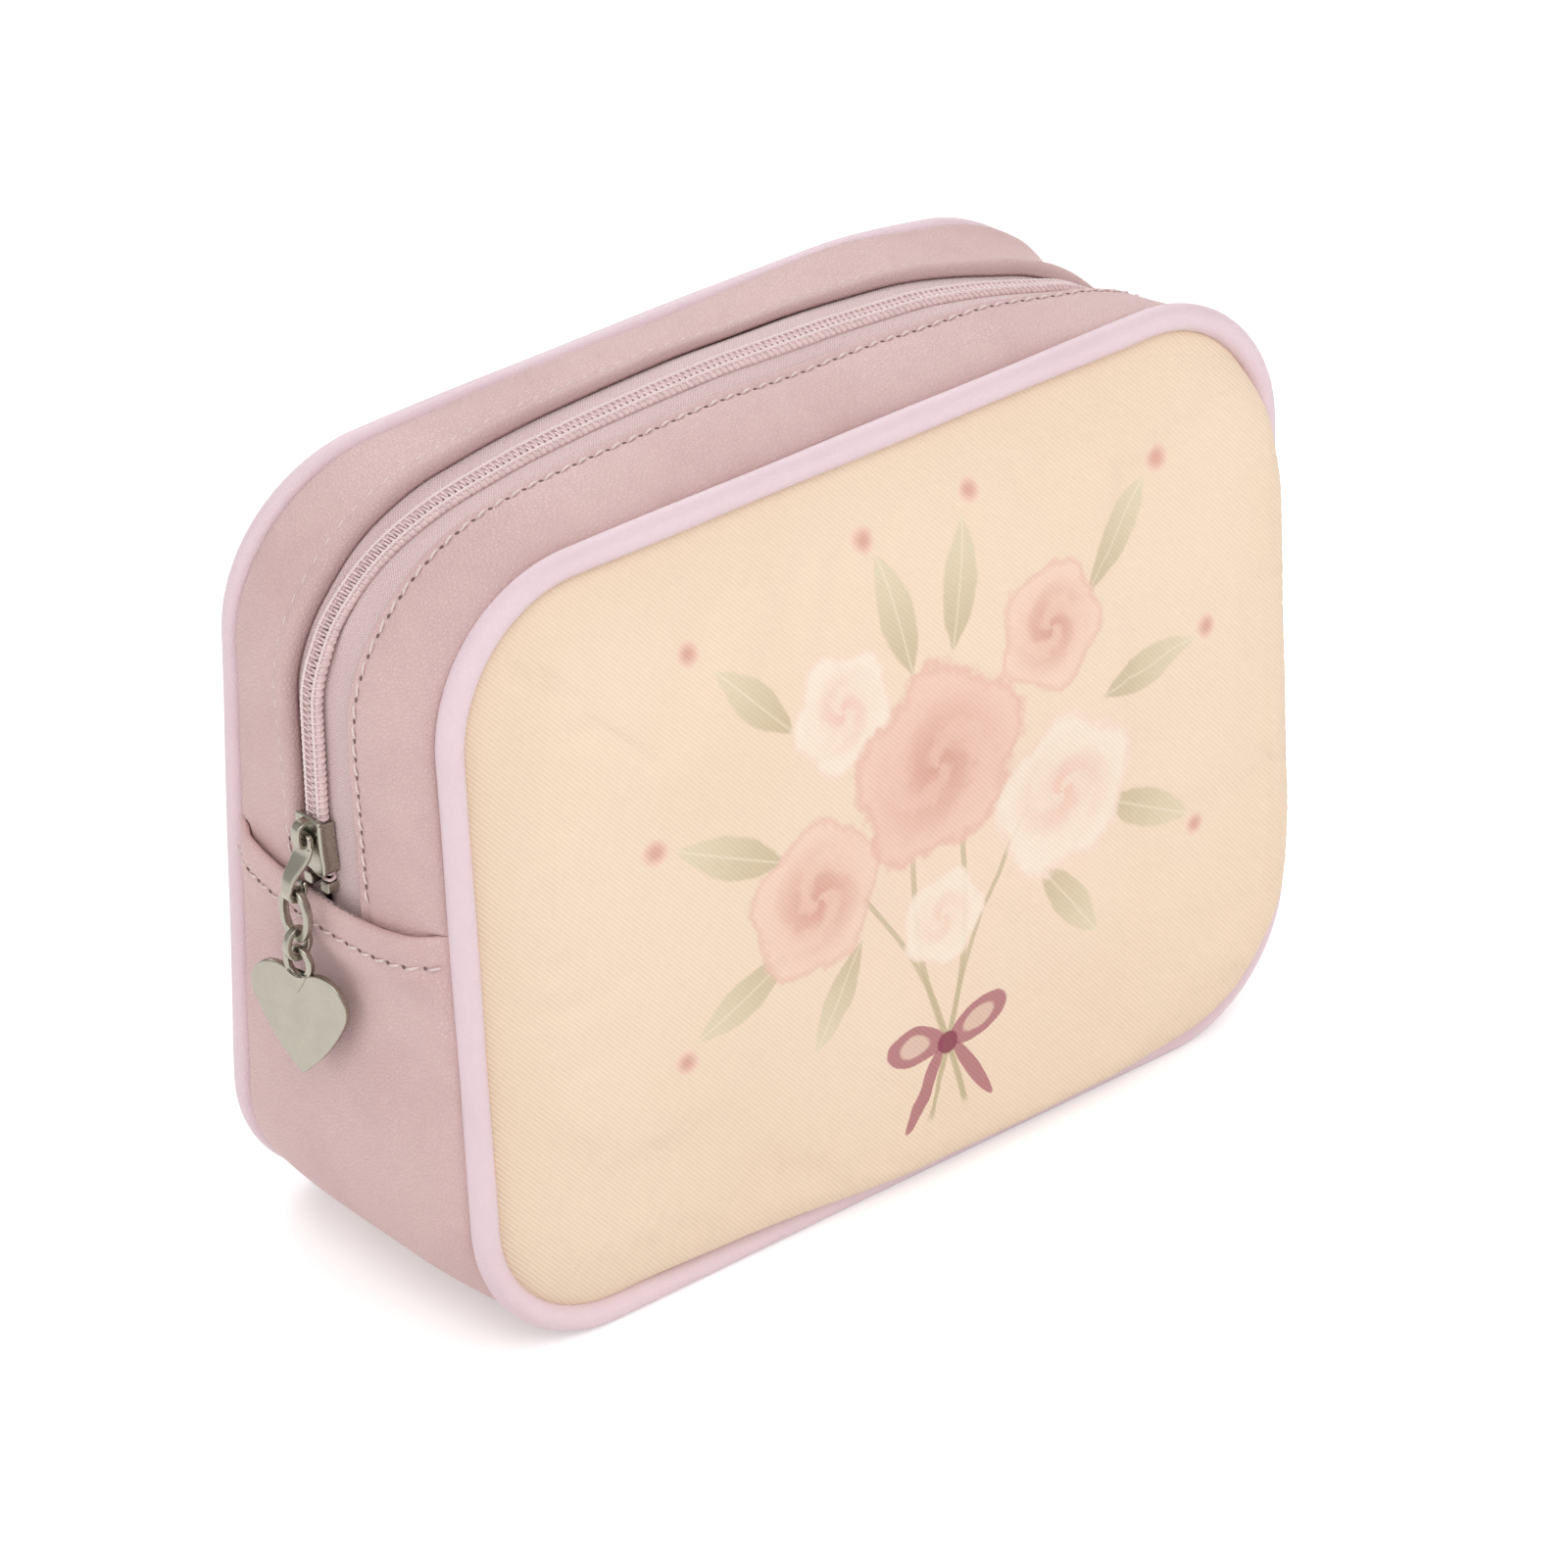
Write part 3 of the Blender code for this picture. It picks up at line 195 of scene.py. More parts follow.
MIDDLE_PLACES = (-165, -140, -127, -122, -112, -103, -84, -74, -60, -45, -30, -12, 13, 38, 58, 74,
                 90, 103, 112, 122, 140, 165)
MIDDLE_CROWNS = (3.8, 3.9, 3.95, 3.9, 2.1, 0.8, 0.9, 2.1, 4.6, 6.1, 7.0, 7.7, 7.1, 4.6, 0.6, -3.4,
                 -5.2, -4.2, -1.6, 2.0, 4.0, 3.8)
SHOULDER_PLACES = (-165, -140, -127, -118, -110, -104, -97, -87, -78, -65, -51, -18, 2, 22, 47, 67,
                   80, 103, 118, 140, 165)
SHOULDER_CROWNS = (3.4, 4.2, 5.0, 4.7, 3.6, 2.4, 2.0, 1.9, 2.2, 3.9, 5.3, 5.9, 4.9, 4.9, 3.0, -0.6,
                   -2.7, -2.4, 1.2, 3.6, 3.4)
SHOULDER = 12.0
MIDDLE = 4.0
RIM_SETBACK = 4.6

BACK_RIM_TOP = 1.3
BACK_RIM_SIDE = 1.05
BACK_RIM_FULL = 3.5


def crown_profile(path, y, middle, shoulder):
    """How far the gusset stands out of its plain inset at depth places y.

    The stuffed leather stands fuller against the back piping than against the front one.
    """
    far = np.abs(y)
    rim = half_depth(path.z)[:, None] - RIM_SETBACK
    share = smooth(far, MIDDLE, SHOULDER)
    inner = middle[:, None] * (1 - share) + shoulder[:, None] * share
    beyond = np.clip((far - SHOULDER) / (rim - SHOULDER), 0, 1)
    full = BACK_RIM_SIDE + (BACK_RIM_TOP - BACK_RIM_SIDE) * smooth(path.nz, 0.2, 0.8)
    full = full + ((BACK_RIM_FULL - BACK_RIM_TOP) * smooth(path.nz, 0.35, 0.8)
                   * smooth(path.x, -5, 38))
    full = full * (1 - 0.8 * smooth(-path.nz, 0, 1))
    edge = np.where(y > 0, full[:, None], 0)
    return inner + (edge - inner) * beyond ** 2


def swell(s, y):
    """Slight unevenness of stuffed leather."""
    return (0.16 * np.sin(s / 11.3 + y / 17) + 0.12 * np.sin(s / 6.1 - y / 7.7 + 1.3)
            + 0.09 * np.sin(s / 23 + y / 5.3 + 4))


def upper_inset(path, y):
    """Inset of the outer surface along the arch."""
    y = np.broadcast_to(y, (len(path), np.shape(y)[-1]))
    t = path.t
    crown = crown_profile(path, y, along(t, MIDDLE_PLACES, MIDDLE_CROWNS),
                          along(t, SHOULDER_PLACES, SHOULDER_CROWNS))
    calm = smooth(np.abs(y - ZIP_MIDDLE), 9, 14) * smooth(path.z, 100, 125)[:, None]
    return SKIN_INSET - crown + calm * swell(t[:, None], y)


def lower_inset(path, y):
    """Inset of the outer surface along the cradle."""
    y = np.broadcast_to(y, (len(path), np.shape(y)[-1]))
    fall = smooth(-path.nz, 0, 1)
    crown = SIDE_CROWN + (SKIN_INSET - SIDE_CROWN) * fall
    calm = np.where(path.nz < 0, 0, smooth(FOLD_HEIGHT - path.z, 6, 30)) * smooth(path.z, 30, 50)
    return (SKIN_INSET - crown_profile(path, y, crown, crown)
            + calm[:, None] * swell(path.s[:, None] * 1.1, y))


def place(path, inset, y):
    """Points at insets and depth places for each station."""
    inset = np.asarray(inset, float)
    y = np.broadcast_to(y, inset.shape)
    return np.stack([path.x[:, None] - path.nx[:, None] * inset, y,
                     path.z[:, None] - path.nz[:, None] * inset], -1)


def seam_place(path, face, inset, setback):
    """Points given by inset and setback from the face, for each station."""
    inset = np.broadcast_to(inset, (len(path), np.shape(inset)[-1]))
    z = path.z[:, None] - path.nz[:, None] * inset
    return place(path, inset, face * (half_depth(z) - setback))


SLUMP_DROP = 5.2
BACK_BOW = 0.9
SLUMP_PUSH = 1.6


def slump(points):
    """The top's hidden right back corner sinks, as an unfilled bag does."""
    points = np.array(points, float)
    x, y, z = points[..., 0], points[..., 1], points[..., 2]
    share = smooth(x, 40, 96) * smooth(y, -26, 34) * smooth(z, 96, 164)
    middle = np.clip(1 - (x / 84) ** 2, 0, 1) * smooth(y, -10, 32) * smooth(z, 110, 164)
    points[..., 2] += BACK_BOW * middle - SLUMP_DROP * share
    points[..., 0] -= SLUMP_PUSH * share
    return points


# Meshes


def circle(count, start=0.0):
    """Angles once round."""
    return 2 * pi * (np.arange(count) + start) / count


def blunt(wave, power):
    """A sine or cosine with fuller shoulders."""
    return np.sign(wave) * np.abs(wave) ** power


def grid_faces(rows, columns, close_rows=False, close_columns=False):
    """Quads between the points of a grid, with its edges joined where asked."""
    row = np.arange(rows if close_rows else rows - 1)
    column = np.arange(columns if close_columns else columns - 1)
    low, left = np.meshgrid(row, column, indexing="ij")
    high, right = (low + 1) % rows, (left + 1) % columns
    return np.stack([low * columns + left, low * columns + right,
                     high * columns + right, high * columns + left], -1).reshape(-1, 4)


def capped(rows, columns, base=0):
    """Faces of a tube of rings with both ends closed."""
    first = base + np.arange(columns)
    return ((grid_faces(rows, columns, close_columns=True) + base).tolist()
            + [first.tolist(), (first + (rows - 1) * columns).tolist()])


def build(name, points, faces, look, uv=None, outward=True):
    """An object from points in millimetres."""
    mesh = bpy.data.meshes.new(name)
    points = np.asarray(points, float).reshape(-1, 3)
    mesh.from_pydata((points * MM).tolist(), [], faces)
    if uv is not None:
        layer = mesh.uv_layers.new(name="UVMap")
        corners = np.empty(len(mesh.loops), int)
        mesh.loops.foreach_get("vertex_index", corners)
        layer.data.foreach_set("uv", np.asarray(uv, float).reshape(-1, 2)[corners].ravel())
    if outward:
        bm = bmesh.new()
        bm.from_mesh(mesh)
        bmesh.ops.recalc_face_normals(bm, faces=bm.faces)
        bm.to_mesh(mesh)
        bm.free()
    mesh.shade_smooth()
    mesh.materials.append(look)
    item = bpy.data.objects.new(name, mesh)
    bpy.context.scene.collection.objects.link(item)
    return item


def finish_piece(item, slot, *nodes, body="bag"):
    """Ride on a body and stand for CAD nodes, hiding them; slot is not used."""
    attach(item, body)
    if nodes:
        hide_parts(*nodes)
    return item


def tube_uv(points):
    """Metres along and round a grid of rings."""
    steps = np.linalg.norm(np.diff(points, axis=0), axis=-1).mean(1)
    run = np.concatenate([[0], np.cumsum(steps)])
    across = np.linalg.norm(np.diff(points, axis=1), axis=-1)
    across = np.concatenate([np.zeros((len(points), 1)), np.cumsum(across, 1)], 1)
    return np.stack([np.broadcast_to(run[:, None], across.shape), across], -1) * MM


def skin(name, points, slot, *nodes, body="bag", look=None, closed=False):
    """A piece from a grid of closed rings, capped at both ends unless the way is closed."""
    rows, columns = points.shape[:2]
    faces = grid_faces(rows, columns, True, True).tolist() if closed else capped(rows, columns)
    item = build(name, points, faces, look or LOOKS[slot], tube_uv(points))
    return finish_piece(item, slot, *nodes, body=body)


def between(path, top, top_y, low, low_y):
    """Rings round a sheet between two lines of insets and depth places."""
    return np.concatenate([place(path, top, top_y), place(path, low, low_y)[:, ::-1]], 1)


def sheet(name, path, y, top, thickness, slot, *nodes):
    skin(name, slump(between(path, top, y, top + thickness, y)), slot, *nodes)


def specks(name, stacks, look):
    """Many small closed tubes on the leather in one mesh, each from its rings of points."""
    stacks = np.array(stacks)
    count, rings, sides = stacks.shape[:3]
    faces = [face for index in range(count) for face in capped(rings, sides, index * rings * sides)]
    finish_piece(build(name, stacks, faces, look), "pink_leather")


def tube(points, radius, sides=WIRE_SIDES):
    """Rings round a line of points; radius may differ from point to point."""
    points = np.asarray(points, float)
    tangent = unit(np.gradient(points, axis=0))
    side = unit(np.cross(tangent, TUBE_UP))[:, None]
    rise = np.cross(side, tangent[:, None])
    angle = circle(sides)[:, None]
    radius = np.broadcast_to(np.asarray(radius, float).reshape(-1, 1, 1), (len(points), 1, 1))
    return points[:, None] + radius * (side * np.cos(angle) + rise * np.sin(angle))


def underside(outer_inset, outer_y, thickness):
    """The inner line of a sheet whose outer line is given in inset and depth place."""
    di = np.gradient(outer_inset, axis=1)
    dy = np.gradient(outer_y, axis=1)
    size = np.hypot(di, dy)
    turn = np.sign(dy.sum(1, keepdims=True))
    return outer_inset + thickness * turn * dy / size, outer_y - thickness * turn * di / size


# Shader helpers


class Value:
    """A shader value that can be written in sums and products."""

    def __init__(self, nodes, socket):
        self.nodes, self.socket = nodes, socket

    def math(self, operation, other=0.0, clamp=False):
        return self.nodes.math(operation, self, other, clamp)

    def wave(self, pitch):
        return (self * (2 * pi / pitch)).sine()

    def ramp(self, low, high, bottom=0.0, top=1.0):
        """From bottom at low to top at high, with level ends."""
        return self.nodes.node("ShaderNodeMapRange", {
            "Value": self, "From Min": low, "From Max": high, "To Min": bottom,
            "To Max": top}, interpolation_type="SMOOTHSTEP")


def method(operation):
    return lambda value, other=0.0: value.math(operation, other)


for name, operation in (("__add__", "ADD"), ("__sub__", "SUBTRACT"), ("__mul__", "MULTIPLY"),
                        ("__truediv__", "DIVIDE"), ("__abs__", "ABSOLUTE"), ("sine", "SINE")):
    setattr(Value, name, method(operation))


class Nodes:
    """A node tree whose nodes are added in a few words."""

    def __init__(self, tree):
        self.tree = tree

    def put(self, socket, value):
        if isinstance(value, Value):
            self.tree.links.new(value.socket, socket)
        else:
            socket.default_value = value

    def add(self, kind, inputs=(), **settings):
        made = self.tree.nodes.new(kind)
        for setting, value in settings.items():
            setattr(made, setting, value)
        for socket, value in dict(inputs).items():
            self.put(made.inputs[socket], value)
        return made

    def node(self, kind, inputs=(), output=0, **settings):
        return Value(self, self.add(kind, inputs, **settings).outputs[output])

    def math(self, operation, first, second=0.0, clamp=False):
        return self.node("ShaderNodeMath", {0: first, 1: second}, operation=operation,
                         use_clamp=clamp)

    def vector(self, operation, first, second=(0, 0, 0)):
        return self.node("ShaderNodeVectorMath", {0: first, 1: second},
                         "Value" if operation == "LENGTH" else "Vector", operation=operation)

    def place(self, kind="Object"):
        return self.node("ShaderNodeTexCoord", output=kind)

    def split(self, vector):
        return [Value(self, socket) for socket
                in self.add("ShaderNodeSeparateXYZ", {0: vector}).outputs]

    def join(self, x, y):
        return self.node("ShaderNodeCombineXYZ", {0: x, 1: y})

    def noise(self, vector, scale, detail=2.0, roughness=0.5, output="Fac"):
        return self.node("ShaderNodeTexNoise", {"Vector": vector, "Scale": scale, "Detail": detail,
                                                "Roughness": roughness}, output)

    def cells(self, vector, scale, feature):
        return self.node("ShaderNodeTexVoronoi", {"Vector": vector, "Scale": scale}, "Distance",
                         feature=feature)

    def painted(self, name):
        return self.node("ShaderNodeAttribute", output="Fac", attribute_name=name)

    def rays(self, *kinds):
        """1 for rays of these kinds."""
        path = self.add("ShaderNodeLightPath").outputs
        total = Value(self, path[f"Is {kinds[0]} Ray"])
        for kind in kinds[1:]:
            total = total.math("MAXIMUM", Value(self, path[f"Is {kind} Ray"]))
        return total

    def mix(self, share, first, second, blend="MIX"):
        first, second = (value if isinstance(value, Value) else (*value, 1.0)
                         for value in (first, second))
        return self.node("ShaderNodeMix", {0: share, 6: first, 7: second}, 2, data_type="RGBA",
                         blend_type=blend)


class Look(Nodes):
    """A material; its constants are given by socket names."""

    def __init__(self, name, roughness=0.5, **sockets):
        self.material = bpy.data.materials.new(name)
        self.material.use_nodes = True
        super().__init__(self.material.node_tree)
        self.surface = self.tree.nodes["Principled BSDF"].inputs
        self.surface["Roughness"].default_value = roughness
        for socket, value in sockets.items():
            self.surface[socket.replace("_", " ")].default_value = value

    def give(self, socket, value):
        self.put(self.surface[socket], value)

    def tint(self, value, low, high, first, second):
        self.give("Base Color", self.mix(value.ramp(low, high), first, second))

    def bump(self, height, distance, strength, **normal):
        made = self.node("ShaderNodeBump", {"Height": height, "Distance": distance,
                                            "Strength": strength, **normal})
        self.give("Normal", made)
        return made


def darker(tone, share):
    return tuple(channel * share for channel in tone)


LEATHER_TONE = (0.70, 0.49, 0.475)
LEATHER_DEEP = (0.555, 0.345, 0.34)
PIPING_TONE = (0.79, 0.625, 0.67)
PIPING_DEEP = (0.70, 0.49, 0.555)
TWILL_TONE = (0.90, 0.72, 0.555)
TWILL_CLOUD = (0.875, 0.675, 0.50)
# Colour of the painted shade along the front panel's sewn edge
TWILL_SEAM_SHADE = (0.70, 0.53, 0.37)
TWILL_GAP = (0.82, 0.77, 0.71)
TAPE_TONE = (0.66, 0.455, 0.455)
TAPE_PALE = (0.84, 0.67, 0.66)
COIL_TONE = (0.82, 0.63, 0.62)
CORD_TONE = (0.90, 0.73, 0.72)
THREAD_TONE = (0.87, 0.705, 0.68)
NICKEL_TONE = (0.42, 0.395, 0.33)


def grained(name, tone, deep, grain=1150.0, depth=0.00016, roughness=0.5, contrast=1.0):
    """Leather: small pebbled cells, soft creases between them, slow changes of tone, and painted
    shade where a point attribute asks for it.
    """
    look = Look(name, roughness, IOR=1.45)
    place = look.place()
    drift = look.noise(place, 420.0, output="Color")
    warped = look.vector("ADD", place, look.vector("MULTIPLY", drift, (0.0006,) * 3))
    cell = look.cells(warped, grain, "F1")
    pit = look.cells(warped, grain, "DISTANCE_TO_EDGE").ramp(0.0, 0.16)
    pores = look.noise(place, grain * 2.6, 3.0)
    cloud = look.noise(place, 38.0, 3.0)
    patch = look.noise(place, 160.0, 3.0, 0.6)
    shade = (look.math("SUBTRACT", 1.0, pit) * (0.20 * contrast)
             + cloud.ramp(0.42, 0.68, 0.0, 0.24 * contrast))
    shade = shade.math("ADD", patch.ramp(0.4, 0.7, 0.0, 0.12 * contrast), clamp=True)
    # Painted shade: a point attribute darkens the leather towards a deeper tone
    look.give("Base Color", look.mix(look.painted("painted_shade"), look.mix(shade, tone, deep),
                                     darker(deep, 0.72)))
    look.give("Roughness", (patch + pit * 0.3).ramp(0.4, 1.1, roughness + 0.1, roughness - 0.08))
    soft = look.bump(look.noise(place, 70.0), 0.0007, 0.5)
    look.bump(pit * 0.55 + (cell * -0.35 + pores * 0.25), depth, 0.8, Normal=soft)
    return look.material


def woven(look, u, v, ridge, thread, slope):
    """Height of a twill whose ridges climb at a slope; ridge and thread are pitches."""
    flat = look.join(u, v)
    across = (u + v * slope) / sqrt(1 + slope * slope) + look.noise(flat, 260.0) * (ridge * 0.35)
    return (across.wave(ridge) * 0.45 + (v.wave(thread) * 0.16 + u.wave(thread) * 0.12)
            + look.noise(flat, 6500.0) * 0.5)


IVORY = (0.94, 0.82, 0.69)
PALE_ROSE = (0.90, 0.60, 0.50)
DUSTY_ROSE = (0.72, 0.36, 0.29)
BLUSH = (0.92, 0.66, 0.54)
SAND_LEAF = (0.56, 0.46, 0.28)
PALE_LEAF = (0.76, 0.66, 0.46)
MAROON = (0.40, 0.10, 0.145)
DARK_MAROON = (0.27, 0.05, 0.085)
WASH = (0.93, 0.70, 0.57)

# Each flower: middle across and up, radius (all in millimetres), turn, heart and rim colours
FLOWERS = (
    (-18, 117, 12.5, 0.4, PALE_ROSE, IVORY),
    (6, 62, 10.5, 2.1, BLUSH, IVORY),
    (35, 116, 13.5, 3.3, DUSTY_ROSE, BLUSH),
    (-27, 80, 17.0, 1.2, DUSTY_ROSE, BLUSH),
    (38, 78, 18.0, 5.1, PALE_ROSE, IVORY),
    (5, 97, 22.0, 0.0, DUSTY_ROSE, PALE_ROSE),
)
# Each leaf: middle across and up, half length, turn in degrees
LEAVES = (
    (-47, 97, 14, 155), (-46, 66, 13, 205), (-38, 126, 12, 132), (-2, 131, 13, 98),
    (14, 132, 13, 72), (55, 128, 13, 42), (60, 98, 13, 8), (60, 66, 13, -28),
    (38, 54, 12, -55), (-22, 56, 12, -125),
)
# Each bud: middle across and up, radius
BUDS = ((-64, 104, 3.6), (-60, 57, 3.2), (-50, 139, 3.2), (-6, 147, 3.4), (21, 148, 3.0),
        (68, 139, 3.6), (76, 101, 3.4), (73, 57, 3.0))
# Each stem: how far it leans and bends above the tie
STEMS = ((-20.0, 3.0), (-7.0, -2.0), (6.0, 2.0), (20.0, -3.0))
TIE = (6.0, 34.0)
# The bow's loops and tails: middle across and up from the tie, half length, half width, turn
LOOPS = ((-8.5, 2.2, 8.0, 4.2, -12), (8.5, 2.2, 8.0, 4.2, 12))
TAILS = ((-6.0, -9.0, 10.0, 1.7, 62), (6.5, -8.5, 10.0, 1.7, -58))
WASH_MIDDLE, WASH_SIZE = (14, 76), 86
STEM_RUN = 40
STEM_ENDS = ((-17, -14), (48, 40))
STEM_EDGE = (0.85, 0.5)
KNOT = 2.6


def local_place(look, flat, across, up, size, turn):
    """The cloth's own coordinates, seen from a motif's middle."""
    wide, high = size if isinstance(size, tuple) else (size, size)
    return look.node("ShaderNodeMapping", {
        "Vector": flat, "Location": (across * MM, up * MM, 0), "Rotation": (0, 0, turn),
        "Scale": (wide * MM, high * MM, 1)}, vector_type="TEXTURE")


def add_flower(look, tone, flat, bleed, across, up, size, turn, heart, rim):
    """A rose of soft petals laid in a spiral."""
    place = local_place(look, flat, across, up, size, turn)
    x, y, _ = look.split(place)
    far = look.vector("LENGTH", place)
    angle = y.math("ARCTAN2", x)
    past = far - ((angle * 5.0).sine() * 0.07 + (bleed * 0.34 + 0.80))
    petals = (far * 11.0 + angle * 2.0 + bleed * 5.0).sine().ramp(-0.9, 0.95)
    bloom = look.mix(far.ramp(0.05, 0.95), heart, rim)
    bloom = look.mix(petals * 0.55, bloom, rim)
    bloom = look.mix(past.ramp(-0.16, -0.02) * 0.4, bloom, heart)
    return look.mix(past.ramp(0.035, -0.07) * 0.88, tone, bloom)


def add_leaf(look, tone, flat, bleed, across, up, size, turn):
    """A pointed leaf with a pale vein."""
    x, y, _ = look.split(local_place(look, flat, across, up, size, radians(turn)))
    side = abs(y)
    half = x * x * -0.34 + 0.34
    mask = (side - (bleed * 0.12 + (half - 0.06))).ramp(0.02, -0.05)
    leaf = look.mix(x.ramp(-1.0, 1.0), SAND_LEAF, PALE_LEAF)
    leaf = look.mix(side.ramp(0.035, 0.0, 0.0, 0.5), leaf, IVORY)
    return look.mix(mask * 0.72, tone, leaf)


def add_stem(look, tone, x, rise, lean, bow):
    share = rise / (STEM_RUN * MM)
    line = share * (lean * MM) + TIE[0] * MM + (share * pi).sine() * (bow * MM)
    low, high = (rise.ramp(*np.multiply(end, MM)) for end in STEM_ENDS)
    mask = low * high * abs(x - line).ramp(*np.multiply(STEM_EDGE, MM))
    return look.mix(mask * 0.7, tone, SAND_LEAF)


def add_print(look, tone, flat):
    """A generic bouquet of watercolour roses with a bow, in the colours of the real print."""
    bleed = look.noise(flat, 210.0, 3.0, 0.6)
    cloud = look.noise(flat, 60.0, 3.0, 0.6)
    place = local_place(look, flat, *WASH_MIDDLE, WASH_SIZE, 0.35)
    far = look.vector("LENGTH", look.vector("MULTIPLY", place, (1.0, 1.25, 0.0)))
    tone = look.mix((cloud * 0.7 + far).ramp(1.25, 0.55) * 0.42, tone, WASH)
    x, y, _ = look.split(flat)
    for stem in STEMS:
        tone = add_stem(look, tone, x, y - TIE[1] * MM, *stem)
    for leaf in LEAVES:
        tone = add_leaf(look, tone, flat, bleed, *leaf)
    for bud in BUDS:
        far = look.vector("LENGTH", local_place(look, flat, *bud, 0))
        mask = (bleed * 0.5 + far).ramp(1.2, 0.95)
        tone = look.mix(mask * 0.85, tone, look.mix(far.ramp(0.1, 0.9), DUSTY_ROSE, BLUSH))
    for flower in FLOWERS:
        tone = add_flower(look, tone, flat, bleed, *flower)
    for across, up, length, width, turn in TAILS + LOOPS:
        place = local_place(look, flat, TIE[0] + across, TIE[1] + up, (length, width),
                            radians(turn))
        far = bleed * 0.16 + look.vector("LENGTH", place)
        mask = far.ramp(1.10, 1.02)
        if (across, up, length, width, turn) in LOOPS:
            mask = mask * far.ramp(0.55, 0.70, 0.35, 1.0)
        tone = look.mix(mask * 0.82, tone, MAROON)
    far = look.vector("LENGTH", local_place(look, flat, *TIE, KNOT, 0))
    return look.mix(far.ramp(1.05, 0.85, 0.0, 0.95), tone, DARK_MAROON)


def make_front_cloth():
    """Peach twill with the print, and painted shade along its sewn edge."""
    look = Look("panel_twill_look", 0.8, Sheen_Weight=0.12, Sheen_Roughness=0.45)
    place = look.place()
    x, _, z = look.split(place)
    height = woven(look, x, z, 0.00082, 0.00041, 0.85)
    cloud = look.noise(place, 16.0, 3.0)
    tone = look.mix(cloud.ramp(0.35, 0.7, 0.0, 0.45), TWILL_TONE, TWILL_CLOUD)
    tone = add_print(look, tone, look.join(x, z))
    # Painted shade along the sewn edge, from the rim point attribute
    tone = look.mix(look.painted("rim") * 0.32, tone, TWILL_SEAM_SHADE)
    gap = height.ramp(0.30, -0.35, 0.0, 0.42)
    look.give("Base Color", look.mix(gap, tone, TWILL_GAP, "MULTIPLY"))
    soft = look.bump(look.noise(place, 45.0), 0.0008, 0.35)
    look.bump(height, 0.00012, 0.75, Normal=soft)
    return look.material


def make_tape_look(name, tone, pale, rib=0.00058):
    """Zip tape: fine ribs across and a speckle of pale threads."""
    look = Look(name, 0.75, Sheen_Weight=0.2, Sheen_Roughness=0.4)
    u, v, _ = look.split(look.place("UV"))
    checks = u.wave(rib) * v.wave(rib * 1.3)
    grain = look.noise(look.join(u, v), 2600.0)
    look.tint(checks * 0.3 + grain * 1.1, 0.25, 0.85, tone, pale)
    look.bump(checks + grain, 0.00014, 0.7)
    return look.material


def make_thread_look(name, tone, pitch=0.0009, roughness=0.55):
    """Spun thread or cord: fine slanting strands."""
    look = Look(name, roughness, Sheen_Weight=0.15)
    place = look.place()
    x, y, z = look.split(place)
    strands = (x + y + z).wave(pitch) + look.noise(place, 2200.0)
    look.tint(strands, -0.8, 1.2, darker(tone, 0.78), tone)
    look.bump(strands, 0.00008, 0.6)
    return look.material


def make_nylon_look(name, tone):
    """Zip coil: smooth nylon with a little variation from loop to loop."""
    look = Look(name, 0.38, IOR=1.5)
    place = look.place()
    look.tint(look.noise(place, 900.0), 0.3, 0.7, darker(tone, 0.86), tone)
    look.bump(look.noise(place, 2400.0), 0.00004, 0.5)
    return look.material


def make_metal_look():
    """Brushed pale nickel: fine scratches and faint clouds."""
    look = Look("satin_nickel", 0.28, Metallic=1.0)
    place = look.place()
    cloud = look.noise(place, 260.0, 3.0, 0.6)
    brushed = look.noise(look.vector("MULTIPLY", place, (900.0, 9000.0, 900.0)), 1.0, 3.0)
    look.tint(cloud, 0.35, 0.7, NICKEL_TONE, darker(NICKEL_TONE, 0.95))
    look.give("Roughness", (cloud * 0.6 + brushed * 0.4).ramp(0.3, 0.7, 0.24, 0.32))
    look.bump(brushed, 0.00001, 0.25)
    return look.material


def make_plain_cloth(name, tone, weave=0.0007):
    """Lining, binding or foam, with a plain weave or fine cells."""
    look = Look(name, 0.85)
    place = look.place()
    x, _, z = look.split(place)
    height = x.wave(weave) * z.wave(weave) + look.noise(place, 1800.0)
    look.tint(height, -0.5, 1.2, darker(tone, 0.8), tone)
    look.bump(height, 0.0001, 0.5)
    return look.material


LOOKS = {
    "pink_leather": grained("pink_leather_look", LEATHER_TONE, LEATHER_DEEP),
    "piping_leather": grained("piping_leather_look", PIPING_TONE, PIPING_DEEP, grain=1500.0,
                              depth=0.00008, roughness=0.42, contrast=0.55),
    "panel_twill": make_front_cloth(),
    "tape_cloth": make_tape_look("tape_look", TAPE_TONE, TAPE_PALE),
    "coil_nylon": make_nylon_look("coil_look", COIL_TONE),
    "nickel": make_metal_look(),
    "cord_fibre": make_thread_look("cord_fibre_look", (0.80, 0.76, 0.72)),
    "foam": make_plain_cloth("foam_look", (0.82, 0.80, 0.74)),
    "lining_cloth": make_plain_cloth("lining_look", (0.72, 0.50, 0.52)),
    "binding_cloth": make_plain_cloth("binding_look", (0.66, 0.44, 0.47)),
    "board_plastic": make_plain_cloth("board_look", (0.16, 0.15, 0.15), 0.002),
}
THREAD = make_thread_look("thread_look", THREAD_TONE, 0.0007)
SEWING_CORD = make_thread_look("sewing_cord_look", CORD_TONE, 0.0008, 0.4)
# Painted shade inside the needle holes
HOLE_SHADE = make_plain_cloth("needle_hole_shade_look", (0.20, 0.12, 0.12))

